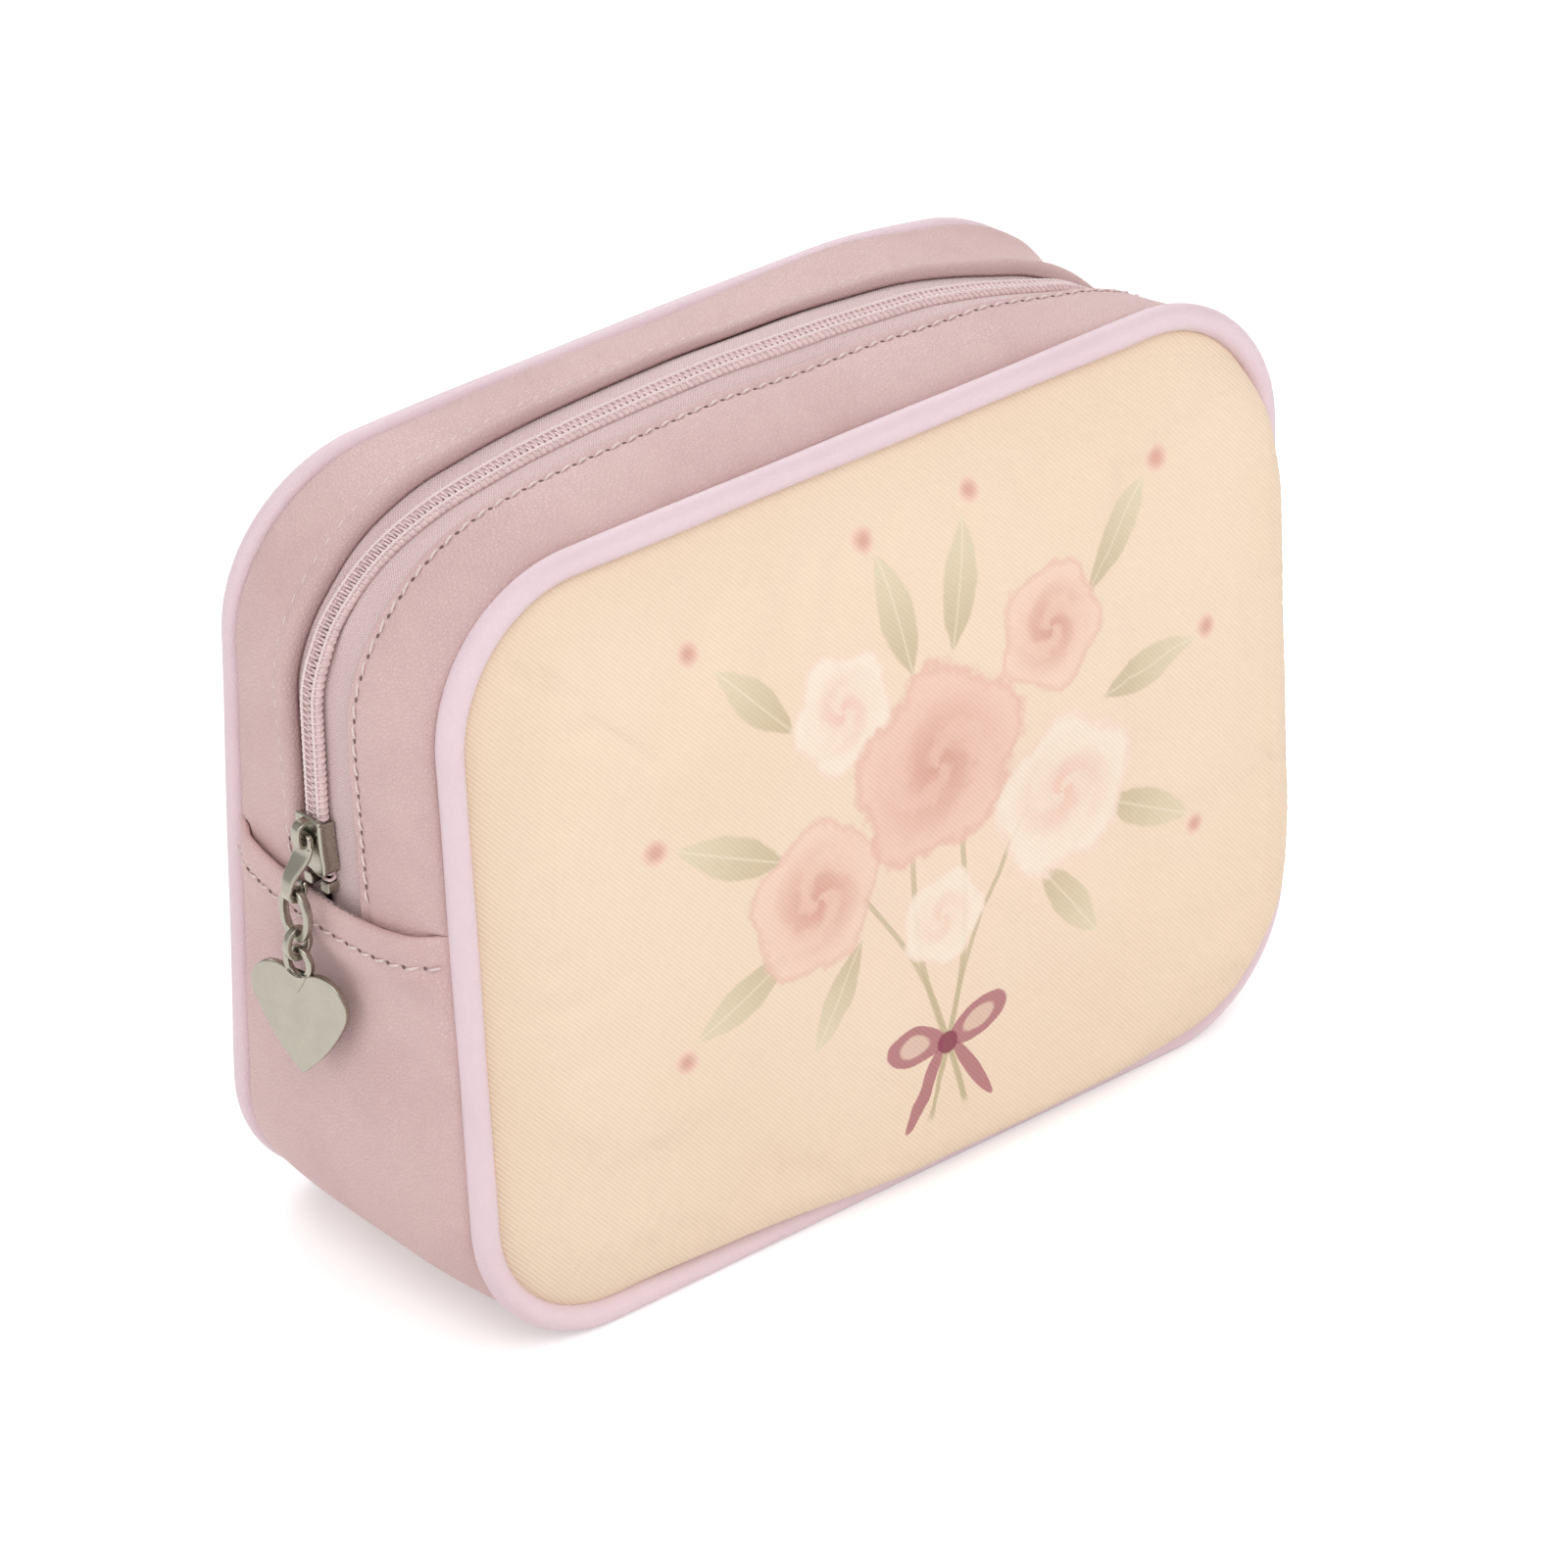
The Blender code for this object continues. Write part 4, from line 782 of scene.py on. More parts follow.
SLOT_NODES = {
    "pink_leather": ("back_panel", "front_gusset_strip", "back_gusset_strip", "base_gusset"),
    "panel_twill": ("front_panel",),
    "piping_leather": ("front_piping_cover", "back_piping_cover"),
    "cord_fibre": ("front_piping_cord", "back_piping_cord"),
    "foam": ("front_padding", "back_padding"),
    "lining_cloth": ("front_lining", "back_lining", "front_gusset_lining", "back_gusset_lining",
                     "base_lining"),
    "binding_cloth": ("front_seam_binding", "back_seam_binding"),
    "tape_cloth": ("front_zip_tape", "back_zip_tape"),
    "coil_nylon": ("front_zip_coil", "back_zip_coil"),
    "board_plastic": ("base_stiffener",),
    "nickel": ("front_top_stop", "back_top_stop", "bottom_stop", "slider_body", "puller",
               "pull_ring", "connector_link", "heart_charm"),
}
for slot, nodes in SLOT_NODES.items():
    for node in nodes:
        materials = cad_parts[node].data.materials
        materials.clear()
        materials.append(LOOKS[slot])


# Piping


def make_piping(label, face):
    path = loop(GRID)
    angle = circle(28)
    radius = PIPING_RADIUS + (0.06 * np.sin(path.s / 9.0) * smooth(path.nz, -0.6, 0))[:, None]
    points = slump(seam_place(path, face, PIPING_RADIUS + radius * np.cos(angle),
                              PIPING_RADIUS + radius * np.sin(angle)))[:-1]
    skin(f"{label}_piping", points, "piping_leather", f"{label}_piping_cover",
         f"{label}_piping_cord", closed=True)


for label, face in FACES:
    make_piping(label, face)


# The gusset's sheets, from an edge over the crown and down into the seam


ROOT_ANGLES = (106, 98, 90, 80, 70, 62)
FLANGE_POINT = (5.0, 6.5)


def seam_roll(path, face, inset, y):
    """Carries an outer line of inset and depth place on over the roll into the piped seam."""
    root = np.radians(ROOT_ANGLES)
    root_setback = PIPING_RADIUS + ROOT_RADIUS * np.sin(root)
    last = inset[:, -1:]
    start = half_depth(path.z)[:, None] - np.abs(y[:, -1:])
    slope = (last - inset[:, -2:-1]) / np.abs(y[:, -1:] - y[:, -2:-1])
    reach = start - root_setback[0]
    share = np.linspace(0, 1, 6)[1:-1]
    parts = []
    for first, control, ends, flange in (
            (last, last + slope * reach * 0.75, PIPING_RADIUS + ROOT_RADIUS * np.cos(root),
             FLANGE_POINT[0]),
            (start, start - reach * 0.75, root_setback, FLANGE_POINT[1])):
        bent = ((1 - share) ** 2 * first + 2 * share * (1 - share) * control
                + share ** 2 * ends[0])
        parts.append(np.concatenate([bent, np.tile([*ends, flange], (len(path), 1))], 1))
    insets, setbacks = parts
    z = path.z[:, None] - path.nz[:, None] * insets
    return (np.concatenate([inset, insets], 1),
            np.concatenate([y, face * (half_depth(z) - setbacks)], 1))


def paint_shade(item, amounts):
    """Painted shade: how far each point's leather is darkened along a rolled edge and beside a
    piped seam.
    """
    layer = item.data.attributes.new("painted_shade", "FLOAT", "POINT")
    layer.data.foreach_set("value", np.clip(amounts, 0, 1).astype(np.float32).ravel())


def make_strip(label, face, edge, stitch, reach, low, high, settle, groove, turned):
    """One upper strip between the zip and a piping; its turned edge runs from low to high, and
    turned sets how dark the painted shade along that edge is.
    """
    path = arch(STRIP_END, 1.0)
    half = half_depth(path.z)[:, None]
    turn = np.linspace(0, pi / 2, 7)
    nose_y = edge + face * reach * (1 - np.cos(turn))
    first = np.linspace(abs(nose_y[-1] - edge), stitch + 3.5, 14)[1:]
    first_y = np.tile(edge + face * first, (len(path), 1))
    last_y = (first_y[:, -1:] + (face * (half - SHEET_MARGIN) - first_y[:, -1:])
              * np.linspace(0, 1, 13)[1:])
    y = np.concatenate([np.tile(nose_y, (len(path), 1)), first_y, last_y], 1)
    off = np.abs(y - edge)
    lift = high * np.exp(-(np.clip(off - reach, 0, None) / settle) ** 2)
    lift[:, :len(nose_y)] = low + (high - low) * np.sin(turn)
    pull = groove * np.exp(-((off - stitch) / 0.8) ** 2)
    beat = 0.5 + 0.5 * np.cos(2 * pi * path.s / STITCH_PITCH)[:, None]
    calm = smooth(path.z, FOLD_HEIGHT + 6, FOLD_HEIGHT + 12)[:, None]
    inset = (upper_inset(path, y) + np.where(lift < 0, lift * calm, lift)
             + pull * (0.6 + 0.4 * beat))
    smile = FOLD_SMILE * (y / half) ** 2
    under = smooth(FOLD_HEIGHT + smile - path.z[:, None], -1.2, 0.8)
    inset = inset + under * UNDER_FOLD * smooth(half - np.abs(y), 12, 8)
    inset, y = seam_roll(path, face, inset, y)
    inner_inset, inner_y = underside(inset[:, len(nose_y) - 2:], y[:, len(nose_y) - 2:], LEATHER)
    points = between(path, inset, y, inner_inset, inner_y)
    points[:, :, 2] = np.maximum(points[:, :, 2], STRIP_END)
    item = skin(f"{label}_strip", slump(points), "pink_leather", f"{label}_gusset_strip")
    far = np.abs(points[:, :, 1] - edge)
    seam = half_depth(points[:, :, 2]) - np.abs(points[:, :, 1])
    # Painted shade along the turned edge and beside the piped seam
    paint_shade(item, turned * np.exp(-far / 1.3) + 0.3 * np.exp(-(seam - 5.0) / 2.2) * (seam > 0))


# turned: how dark the painted shade along each strip's edge is
make_strip("front", FRONT, FRONT_EDGE, FRONT_STITCH, reach=0.9, low=0.9, high=-0.25,
           settle=1.2, groove=0.35, turned=0.1)
make_strip("back", BACK, BACK_EDGE, BACK_STITCH, reach=2.3, low=1.0, high=-1.3,
           settle=2.6, groove=0.3, turned=0.75)


def off_rim(z, y):
    """0 beside the pipings, 1 away from them."""
    return smooth(half_depth(z) - np.abs(y), 8, 13)


def fold_lift(z, y):
    """How far the doubled leather stands out; less beside the pipings."""
    return (LEATHER * 2 + CLEARANCE) * (0.35 + 0.65 * off_rim(z, y))


def make_base():
    """The lower gusset with its folded, doubled ends."""
    radius = LEATHER + 0.05
    ends = FOLD_HEIGHT - radius * (1 - np.cos(np.linspace(0, pi / 2, 7)[:-1]))
    path = cradle(FOLD_HEIGHT - radius, 1.0)
    rows = np.stack([path.x, path.z, path.nx, path.nz], -1)
    left = [(-HALF_WIDTH, z, LEFT, 0) for z in ends]
    right = [(HALF_WIDTH, z, RIGHT, 0) for z in ends[::-1]]
    path = Path(*np.concatenate([left, rows, right]).astype(float).T)
    z = path.z[:, None]
    upright = (path.nz == 0)[:, None]
    y = (half_depth(z) - SHEET_MARGIN) * np.sin(np.linspace(-1, 1, 61) * 0.4 * pi) / sin(0.4 * pi)
    raised = upright * smooth(z, 76, 85)
    thickness = LEATHER * (1 + raised)
    high = np.clip((z - (FOLD_HEIGHT - radius)) / radius, 0, 1)
    pinch = thickness / 2 * (1 - np.sqrt(np.clip(1 - high ** 2, 0, 1)))
    drop = FOLD_HEIGHT - z
    beat = 0.5 + 0.5 * np.cos(2 * pi * y / STITCH_PITCH)
    puff = 0.35 * np.exp(-((drop - FOLD_STITCH * 0.45) / 2.0) ** 2) * off_rim(z, y)
    pull = upright * (np.exp(-((drop - FOLD_STITCH) / 0.9) ** 2) * (0.3 + 0.12 * beat) - puff)
    outer = lower_inset(path, y) - raised * fold_lift(z, y) + pinch + pull
    line_inset, line_y = seam_roll(path, BACK, outer, y)
    added = line_inset.shape[1] - y.shape[1]
    front_inset, front_y = seam_roll(path, FRONT, outer[:, ::-1], y[:, ::-1])
    line_inset = np.concatenate([front_inset[:, ::-1][:, :added], line_inset], 1)
    line_y = np.concatenate([front_y[:, ::-1][:, :added], line_y], 1)
    inner_inset, inner_y = underside(line_inset, line_y, LEATHER)
    middle = slice(added, -added)
    inner_inset[:, middle] = line_inset[:, middle] + thickness - 2 * pinch - pull
    inner_y[:, middle] = line_y[:, middle]
    points = between(path, line_inset, line_y, inner_inset, inner_y)
    depth = half_depth(points[:, :, 2])
    points[:, :, 2] += upright * smooth(z, 62, 90) * FOLD_SMILE * (points[:, :, 1] / depth) ** 2
    skin("base_gusset_leather", slump(points), "pink_leather", "base_gusset")


make_base()


# Inside: linings of the gusset and bindings over the seams


UPPER_LINING_DEPTH = 2.7
BASE_LINING_DEPTH = 4.4
LINING_THICKNESS = 0.4
LINING_SETBACK = 10.5
LINING_ZIP_GAP = 6.4
LINING_LAP = 6.0
BINDING_START, BINDING_END = 6.7, 10.5
BINDING_HALF = 2.1


def rounded(points, cuts=3):
    """Corners cut again and again until the line is soft; its ends stay."""
    points = np.asarray(points, float)
    for _ in range(cuts):
        inner = np.stack([points[:-1] * 0.75 + points[1:] * 0.25,
                          points[:-1] * 0.25 + points[1:] * 0.75], 1).reshape(-1, points.shape[1])
        points = np.concatenate([points[:1], inner[1:-1], points[-1:]])
    return points


def make_linings():
    corners = rounded([(BINDING_START, BINDING_HALF), (BINDING_END, BINDING_HALF),
                       (BINDING_END, -BINDING_HALF), (BINDING_START, -BINDING_HALF)], 2)
    along_it, across_it = corners.T / sqrt(2)
    for label, face in FACES:
        path = arch(STRIP_END, 2.0)
        near = ZIP_MIDDLE + face * LINING_ZIP_GAP
        far = face * (half_depth(path.z)[:, None] - LINING_SETBACK)
        y = near + (far - near) * np.linspace(0, 1, 12)
        inset = upper_inset(path, y) + UPPER_LINING_DEPTH
        sheet(f"{label}_gusset_lining_cloth", path, y, inset, LINING_THICKNESS,
              "lining_cloth", f"{label}_gusset_lining")
        ring = seam_place(loop(2.0), face, PIPING_RADIUS + along_it - across_it,
                          PIPING_RADIUS + along_it + across_it)
        skin(f"{label}_seam_binding_tape", slump(ring)[:-1], "binding_cloth",
             f"{label}_seam_binding", closed=True)
    path = cradle(STRIP_END + LINING_LAP, 2.0)
    y = (half_depth(path.z)[:, None] - LINING_SETBACK) * np.linspace(-1, 1, 25)
    inset = lower_inset(path, y) + BASE_LINING_DEPTH
    sheet("base_lining_cloth", path, y, inset, LINING_THICKNESS, "lining_cloth", "base_lining")


make_linings()


# Panels


PANEL_ROWS = 132
PANEL_COLUMNS = 160
PANEL_CROWD = 1.25
PANEL_EDGE = PIPING_RADIUS + ROOT_RADIUS * cos(radians(-16))
PANEL_THICKNESS = 1.0
PUFF = {"front": 10.1, "back": 4.6}
EASE = {"front": 60.0, "back": 46.0}
POWER = {"front": 1.9, "back": 2.6}
SEAM_DIP, SEAM_DIP_REACH = 0.84, 1.6
SHOULDER_RUN = (0, 1.0, 2.0, 3.0, 4.4, 5.8, 7.4, 9.6, 12.2, 16.8, 25, 46)
SHOULDER_OUT = (0, 0.05, -0.35, -0.95, -1.35, -1.3, -0.4, 1.6, 4.6, 9.4, 18, 46)
SHOULDER_RISE = (-3.45, -2.4, -1.2, -0.35, 1.1, 2.5, 4.0, 5.5, 6.3, 6.9, 7.2, 7.5)
FULL_PLACES = (0, 20, 62, 85, 104, 160, 260, 300, 420, 432, 446, 458, 468, 480, 560, 575, 592, 612,
               640, 660, 720)
FULL_SHARES = (0.85, 0.7, 0.3, 0, 0, 0, 0, 0, 0, 0.03, 0.2, 0.5, 0.8, 1, 1, 0.9, 0.62, 0.6,
               0.85, 0.85, 0.85)
SHOULDER_FADE = (46, 26)


def square_ring(count_x, count_y):
    """Grid places from -1 to 1, and for each its share of the way out and round the square."""
    u, v = np.meshgrid(np.linspace(-1, 1, count_x), np.linspace(-1, 1, count_y), indexing="xy")
    out = np.maximum(np.abs(u), np.abs(v))
    safe = np.where(out == 0, 1, out)
    edge_u, edge_v = u / safe, v / safe
    turn = np.where(np.abs(edge_v) >= 1, np.sign(edge_v) * edge_u, 0)
    around = np.where(edge_v >= 1, 3 + turn, 0)
    around = np.where((edge_u >= 1) & (np.abs(edge_v) < 1), 5 - edge_v, around)
    around = np.where(edge_v <= -1, 7 + turn, around)
    around = np.where((edge_u <= -1) & (np.abs(edge_v) < 1), 1 + edge_v, around)
    return out, (around % 8) / 8


def panel_grid():
    """The sewn outline of a panel, filled with even quads."""
    out, around = square_ring(PANEL_COLUMNS + 1, PANEL_ROWS + 1)
    path = loop(0.6)
    low, high = BASE_RADIUS * pi / 2, TOP_RADIUS * pi / 2
    upright = low / 2 + HEIGHT - TOP_RADIUS - BASE_RADIUS + high / 2
    first = HALF_WIDTH - BASE_RADIUS + low / 2
    corners = np.cumsum([first, upright, high + 2 * (HALF_WIDTH - TOP_RADIUS), upright])
    marks = [*corners, first + path.s[-1]]
    stations = path.at((np.interp(around, np.arange(5) / 4, marks) % path.s[-1]).ravel())
    middle = HEIGHT / 2
    crowded = 1 - (1 - out.ravel()) ** PANEL_CROWD
    x = (stations.x - stations.nx * PANEL_EDGE) * crowded
    z = middle + (stations.z - stations.nz * PANEL_EDGE - middle) * crowded
    return x, z, stations, out.shape


def rim_distance(x, z):
    """Distance inwards from the bag's outline."""
    radius = np.where(z > HEIGHT / 2, TOP_RADIUS, BASE_RADIUS)
    dx = HALF_WIDTH - np.abs(x)
    dz = np.where(z > HEIGHT / 2, HEIGHT - z, z)
    cx, cz = np.clip(radius - dx, 0, None), np.clip(radius - dz, 0, None)
    return np.where((cx > 0) & (cz > 0), radius - np.hypot(cx, cz), np.minimum(dx, dz))


PRESSURE = 4.0
CLOTH_FRAMES = 20
CLOTH_GROWTH = 0.012
CLOTH_CAP = 1.3
PINNED = 2.0
HELD = 14.0
CLOTH_SETTINGS = {"quality": 4, "mass": 0.3, "tension_stiffness": 15, "compression_stiffness": 15,
                  "shear_stiffness": 6, "bending_stiffness": 0.4, "pin_stiffness": 1.0,
                  "shrink_min": -CLOTH_GROWTH, "use_pressure": True,
                  "uniform_pressure_force": PRESSURE}


def places_of(mesh):
    flat = np.empty(len(mesh.vertices) * 3)
    mesh.vertices.foreach_get("co", flat)
    return flat.reshape(-1, 3)


def settle(item, inward):
    """Lets the filled cloth find its own unevenness; the sewn edge stays where it is."""
    mesh, scene = item.data, bpy.context.scene
    before = places_of(mesh)
    group = item.vertex_groups.new(name="sewn edge")
    for index, weight in enumerate(1 - smooth(inward, PINNED, HELD)):
        if weight > 0:
            group.add([index], float(weight), "REPLACE")
    cloth = item.modifiers.new("filled cloth", "CLOTH")
    for setting, value in CLOTH_SETTINGS.items():
        setattr(cloth.settings, setting, value)
    cloth.settings.vertex_group_mass = group.name
    cloth.settings.effector_weights.gravity = 0
    cloth.collision_settings.use_collision = False
    cloth.collision_settings.use_self_collision = False
    cloth.point_cache.frame_start, cloth.point_cache.frame_end = 1, CLOTH_FRAMES
    for number in range(1, CLOTH_FRAMES + 1):
        scene.frame_set(number)
    shaped = item.evaluated_get(bpy.context.evaluated_depsgraph_get()).data
    moved = places_of(shaped) - before
    size = np.linalg.norm(moved, axis=1)[:, None]
    cap = CLOTH_CAP * MM
    moved = moved * np.tanh(size / cap) * cap / np.maximum(size, 1e-9)
    item.modifiers.remove(cloth)
    item.vertex_groups.remove(group)
    scene.frame_set(1)
    mesh.vertices.foreach_set("co", (before + moved).ravel())
    mesh.update()


def full_shoulder(stations, inward):
    """Where the front is filled over its piping: how full, how far out, and how high."""
    full = along(stations.s, FULL_PLACES, FULL_SHARES)
    shift = inward - along(inward, SHOULDER_RUN, SHOULDER_OUT, 0.6)
    start = 0 - along(0.0, SHOULDER_RUN, SHOULDER_OUT, 0.6)
    shift = (shift - start * np.exp(-inward / 0.8)) * full
    fade = smooth(SHOULDER_FADE[0] - inward, 0, SHOULDER_FADE[0] - SHOULDER_FADE[1])
    return full, shift * fade, along(inward, SHOULDER_RUN, SHOULDER_RISE, 0.6)


def make_panel(label, face, cloth, slot):
    x, z, stations, shape = panel_grid()
    inward = np.clip(rim_distance(x, z) - PANEL_EDGE, 0, None)
    share = np.clip(inward / EASE[label], 0, 1)
    rise = (PUFF[label] * (1 - (1 - share) ** POWER[label]) - PIPING_RADIUS + 0.1
            - SEAM_DIP * np.exp(-inward / SEAM_DIP_REACH))
    if face == FRONT:
        full, shift, high = full_shoulder(stations, inward)
        rise = rise * (1 - full) + high * full
        x = x + stations.nx * shift
        z = z + stations.nz * shift
    hollow = (0.30 * np.sin(x / 6.5 + z / 19) * np.exp(-inward / 9)
              + 0.22 * np.sin(z / 5.1 - x / 23) * np.exp(-inward / 7)
              + 0.35 * np.sin(x / 31 + 1) * np.sin(z / 27) * share)
    rise = rise - hollow * smooth(inward, 0, 4)
    outer = slump(np.stack([x, face * (half_depth(z) + rise), z], -1))
    item = build(f"{label}_panel_{cloth}", outer, grid_faces(*shape).tolist(), LOOKS[slot],
                 uv=np.stack([x, z], -1) * MM, outward=False)
    if face == FRONT:
        item.data.flip_normals()
    # The rim point attribute lays painted shade along the front cloth's sewn edge
    weight = item.data.attributes.new("rim", "FLOAT", "POINT")
    weight.data.foreach_set("value", np.exp(-inward / 7).astype(np.float32))
    settle(item, inward)
    solid = item.modifiers.new("thickness", "SOLIDIFY")
    solid.thickness = PANEL_THICKNESS * MM
    solid.offset = -1
    finish_piece(item, slot, f"{label}_panel", f"{label}_padding", f"{label}_lining")


make_panel("front", FRONT, "cloth", "panel_twill")
make_panel("back", BACK, "leather", "pink_leather")


# Zip


def spread(path):
    """How far the rows part below the slider's post on the left side."""
    share = np.clip((POST_TIP + CLEARANCE - path.z) / POST_SPLIT, 0, 1)
    return ROW_SPREAD * np.where((path.nx < -0.999) & (path.z < HEIGHT / 2 + 40), share, 0)


ZIP_PLACES = (-165, -117, -110, -102, -90, -77, -42, 10, 47, 74, 100, 125, 165)
ZIP_MIDDLES = (2.0, 2.0, 2.5, 2.3, 0.6, -0.8, -1.7, -3.1, -1.9, -1.3, -0.5, 0.9, 2.0)


def zip_middle(path):
    """The zip wanders a little between its leather edges; it is straight where the slider runs."""
    wander = along(path.t, ZIP_PLACES, ZIP_MIDDLES, 4.0)
    return np.where(path.t < ZIP_PLACES[1], ZIP_MIDDLE,
                    ZIP_MIDDLE + (wander - ZIP_MIDDLE) * smooth(path.t, ZIP_PLACES[1], -109))


def zip_sink(path):
    """The rows lie deeper in the soft cloth away from the slider."""
    return ROW_SINK * smooth(path.t, ZIP_PLACES[1], -98)


TAPE_REACH = (0, 1.5, 2.6, 2.9, 3.2, 3.6, 4.4, 5.4, 6.6, 8.4, 10.0, 11.5)
TAPE_RISE = (0, 0, 0.35, 0.55, 0.7, 0.75, 0.7, 0.6, 0.5, 0.2, 0, 0)
BACK_TAPE_RISE = 0.35


def make_tapes():
    path = arch(STRIP_END, 1.0)
    for label, face in FACES:
        near = zip_middle(path) + face * (CLEARANCE / 2 + spread(path))
        y = near[:, None] + face * np.array(TAPE_REACH)
        rise = np.multiply(TAPE_RISE, BACK_TAPE_RISE if face == BACK else 1)
        rise = rise * smooth(path.t, ZIP_PLACES[1], -108)[:, None]
        top = upper_inset(path, y) + TAPE_DEPTH - rise
        sheet(f"{label}_tape", path, y, top, TAPE_THICKNESS + rise, "tape_cloth",
              f"{label}_zip_tape")


make_tapes()


def on_arch(stations, y, depth):
    """Points below the gusset's surface, one for each station."""
    y = np.broadcast_to(y, len(stations))[:, None]
    return place(stations, upper_inset(stations, y) + np.reshape(depth, (-1, 1)), y)[:, 0]


def make_coil(label, face, path):
    """A wound row of the zip: each loop's head reaches across to the other row."""
    total = path.s[-1]
    share = np.arange((int(total / LOOP_PITCH) - 1) * LOOP_STEPS) / LOOP_STEPS
    whole, part = np.floor(share), share % 1
    turn = 2 * pi * part
    stations = path.at(LOOP_PITCH * (whole + smooth(part, 0.45, 1.0)
                                     + (0.75 if face == BACK else 0.25)))
    apart = spread(stations)
    inner = np.where(apart > 0, -0.15, HEAD_REACH) - LOOP_WIRE
    outer = ROW_REACH - LOOP_WIRE
    y = zip_middle(stations) + face * (
        apart + (outer - inner) / 2 - blunt(np.cos(turn), 0.55) * (outer + inner) / 2)
    top = ROW_TOP + LOOP_WIRE + zip_sink(stations)
    low = TAPE_DEPTH - 0.3 - LOOP_WIRE
    depth = (top + low) / 2 - (low - top) / 2 * blunt(np.sin(turn), 0.6)
    skin(f"{label}_coil", slump(tube(on_arch(stations, y, depth), LOOP_WIRE)), "coil_nylon",
         f"{label}_zip_coil")


def make_core(label, face, path):
    """What the loops are wound round."""
    core = path.at(np.arange(LOOP_PITCH, path.s[-1] - LOOP_PITCH, 1.0))
    angle = circle(10)
    middle = zip_middle(core) + face * (spread(core) + 1.75)
    top = (ROW_TOP + zip_sink(core) + LOOP_WIRE)[:, None]
    y = middle[:, None] + 0.98 * np.cos(angle)
    depth = top + 0.9 + 0.8 * blunt(np.sin(angle), 0.6)
    skin(f"{label}_coil_core", slump(place(core, upper_inset(core, y) + depth, y)), "coil_nylon")


def make_sewing_cord(label, face, path):
    s = np.arange(LOOP_PITCH, path.s[-1] - LOOP_PITCH, LOOP_PITCH / 4)
    stations = path.at(s)
    y = zip_middle(stations) + face * (spread(stations) + CORD_PLACE)
    line = on_arch(stations, y, ROW_TOP + CORD_SINK + zip_sink(stations))
    beads = CORD_RADIUS * (1 + 0.12 * np.cos(2 * pi * s / LOOP_PITCH))
    skin(f"{label}_sewing_cord", slump(tube(line, beads, 8)), "coil_nylon", look=SEWING_CORD)


for label, face in FACES:
    row = arch(COIL_END, 1.0)
    make_coil(label, face, row)
    make_core(label, face, row)
    make_sewing_cord(label, face, row)


# Stitches


def make_threads(name, starts, stops, bows, sides=6, steps=7):
    """Short threads between pairs of points, bowed outwards."""
    share = np.linspace(0, 1, steps)
    size = THREAD_RADIUS * np.sqrt(np.clip(np.sin(pi * np.clip(share, 0.06, 0.94)) * 1.6, 0, 1))
    lines = (start + (stop - start) * share[:, None] + bow * np.sin(pi * share)[:, None]
             for start, stop, bow in zip(starts, stops, bows))
    specks(name, [tube(line, size, sides) for line in lines], THREAD)


def make_holes(name, centres, normals, across, rings=4, sides=8):
    """Dark specks of painted shade in the dents where the needle went through."""
    polar = (pi * (np.arange(rings) + 0.5) / rings)[:, None, None]
    around = circle(sides)[:, None]
    stacks = []
    for centre, normal in zip(centres, normals):
        side = unit(np.cross(normal, across))
        other = np.cross(side, normal)
        stacks.append(centre + normal * HOLE_DEPTH * np.cos(polar)
                      + side * HOLE_HALF[0] * np.sin(polar) * np.cos(around)
                      + other * HOLE_HALF[1] * np.sin(polar) * np.sin(around))
    specks(name, stacks, HOLE_SHADE)


def out_of(stations):
    return np.stack([stations.nx, np.zeros(len(stations)), stations.nz], -1)


def make_upper_stitches(label, face, edge, off, sink):
    path = arch(FOLD_HEIGHT + 3.0, 1.0)
    y = edge + face * off
    s = np.arange(STITCH_PITCH / 2, path.s[-1], STITCH_PITCH)
    starts, stops = (slump(on_arch(path.at(s + way * THREAD_LENGTH / 2), y + way * THREAD_SLANT,
                                   sink)) for way in (-1, 1))
    make_threads(f"{label}_strip_stitches", starts, stops, out_of(path.at(s)) * 0.22)
    holes = path.at(s[:-1] + STITCH_PITCH / 2)
    make_holes(f"{label}_strip_needle_hole_shade", slump(on_arch(holes, y, sink + 0.12)),
               out_of(holes), (0, 1, 0))


make_upper_stitches("front", FRONT, FRONT_EDGE, FRONT_STITCH, 0.12)
make_upper_stitches("back", BACK, BACK_EDGE, BACK_STITCH, 0.1)


def on_fold(side, y, sink):
    """Points below the surface of a folded end, on the line of its stitches."""
    z = FOLD_HEIGHT - FOLD_STITCH
    one = np.ones(len(y))
    path = Path(one * side * HALF_WIDTH, one * z, one * side, one * 0)
    inset = lower_inset(path, y[:, None])[:, 0] - fold_lift(z, y) + sink
    rise = FOLD_SMILE * (y / half_depth(z)) ** 2 * smooth(z, 62, 90)
    return np.stack([path.x - side * inset, y, path.z + rise], -1)


def make_fold_stitches(label, side):
    """The line of stitches below a folded end of the lower gusset."""
    reach = half_depth(FOLD_HEIGHT - FOLD_STITCH) - 4.5
    count = int(2 * reach / STITCH_PITCH)
    middles = (np.arange(count) - (count - 1) / 2) * STITCH_PITCH
    out = np.tile([side, 0.0, 0.0], (count, 1))
    starts, stops = (on_fold(side, middles + way * THREAD_LENGTH / 2, 0.22)
                     - (0, 0, way * THREAD_SLANT) for way in (-1, 1))
    make_threads(f"{label}_fold_stitches", starts, stops, out * 0.3)
    make_holes(f"{label}_fold_needle_hole_shade",
               on_fold(side, middles[:-1] + STITCH_PITCH / 2, 0.32), out, (0, 0, 1))


make_fold_stitches("left", LEFT)
make_fold_stitches("right", RIGHT)


# Metal


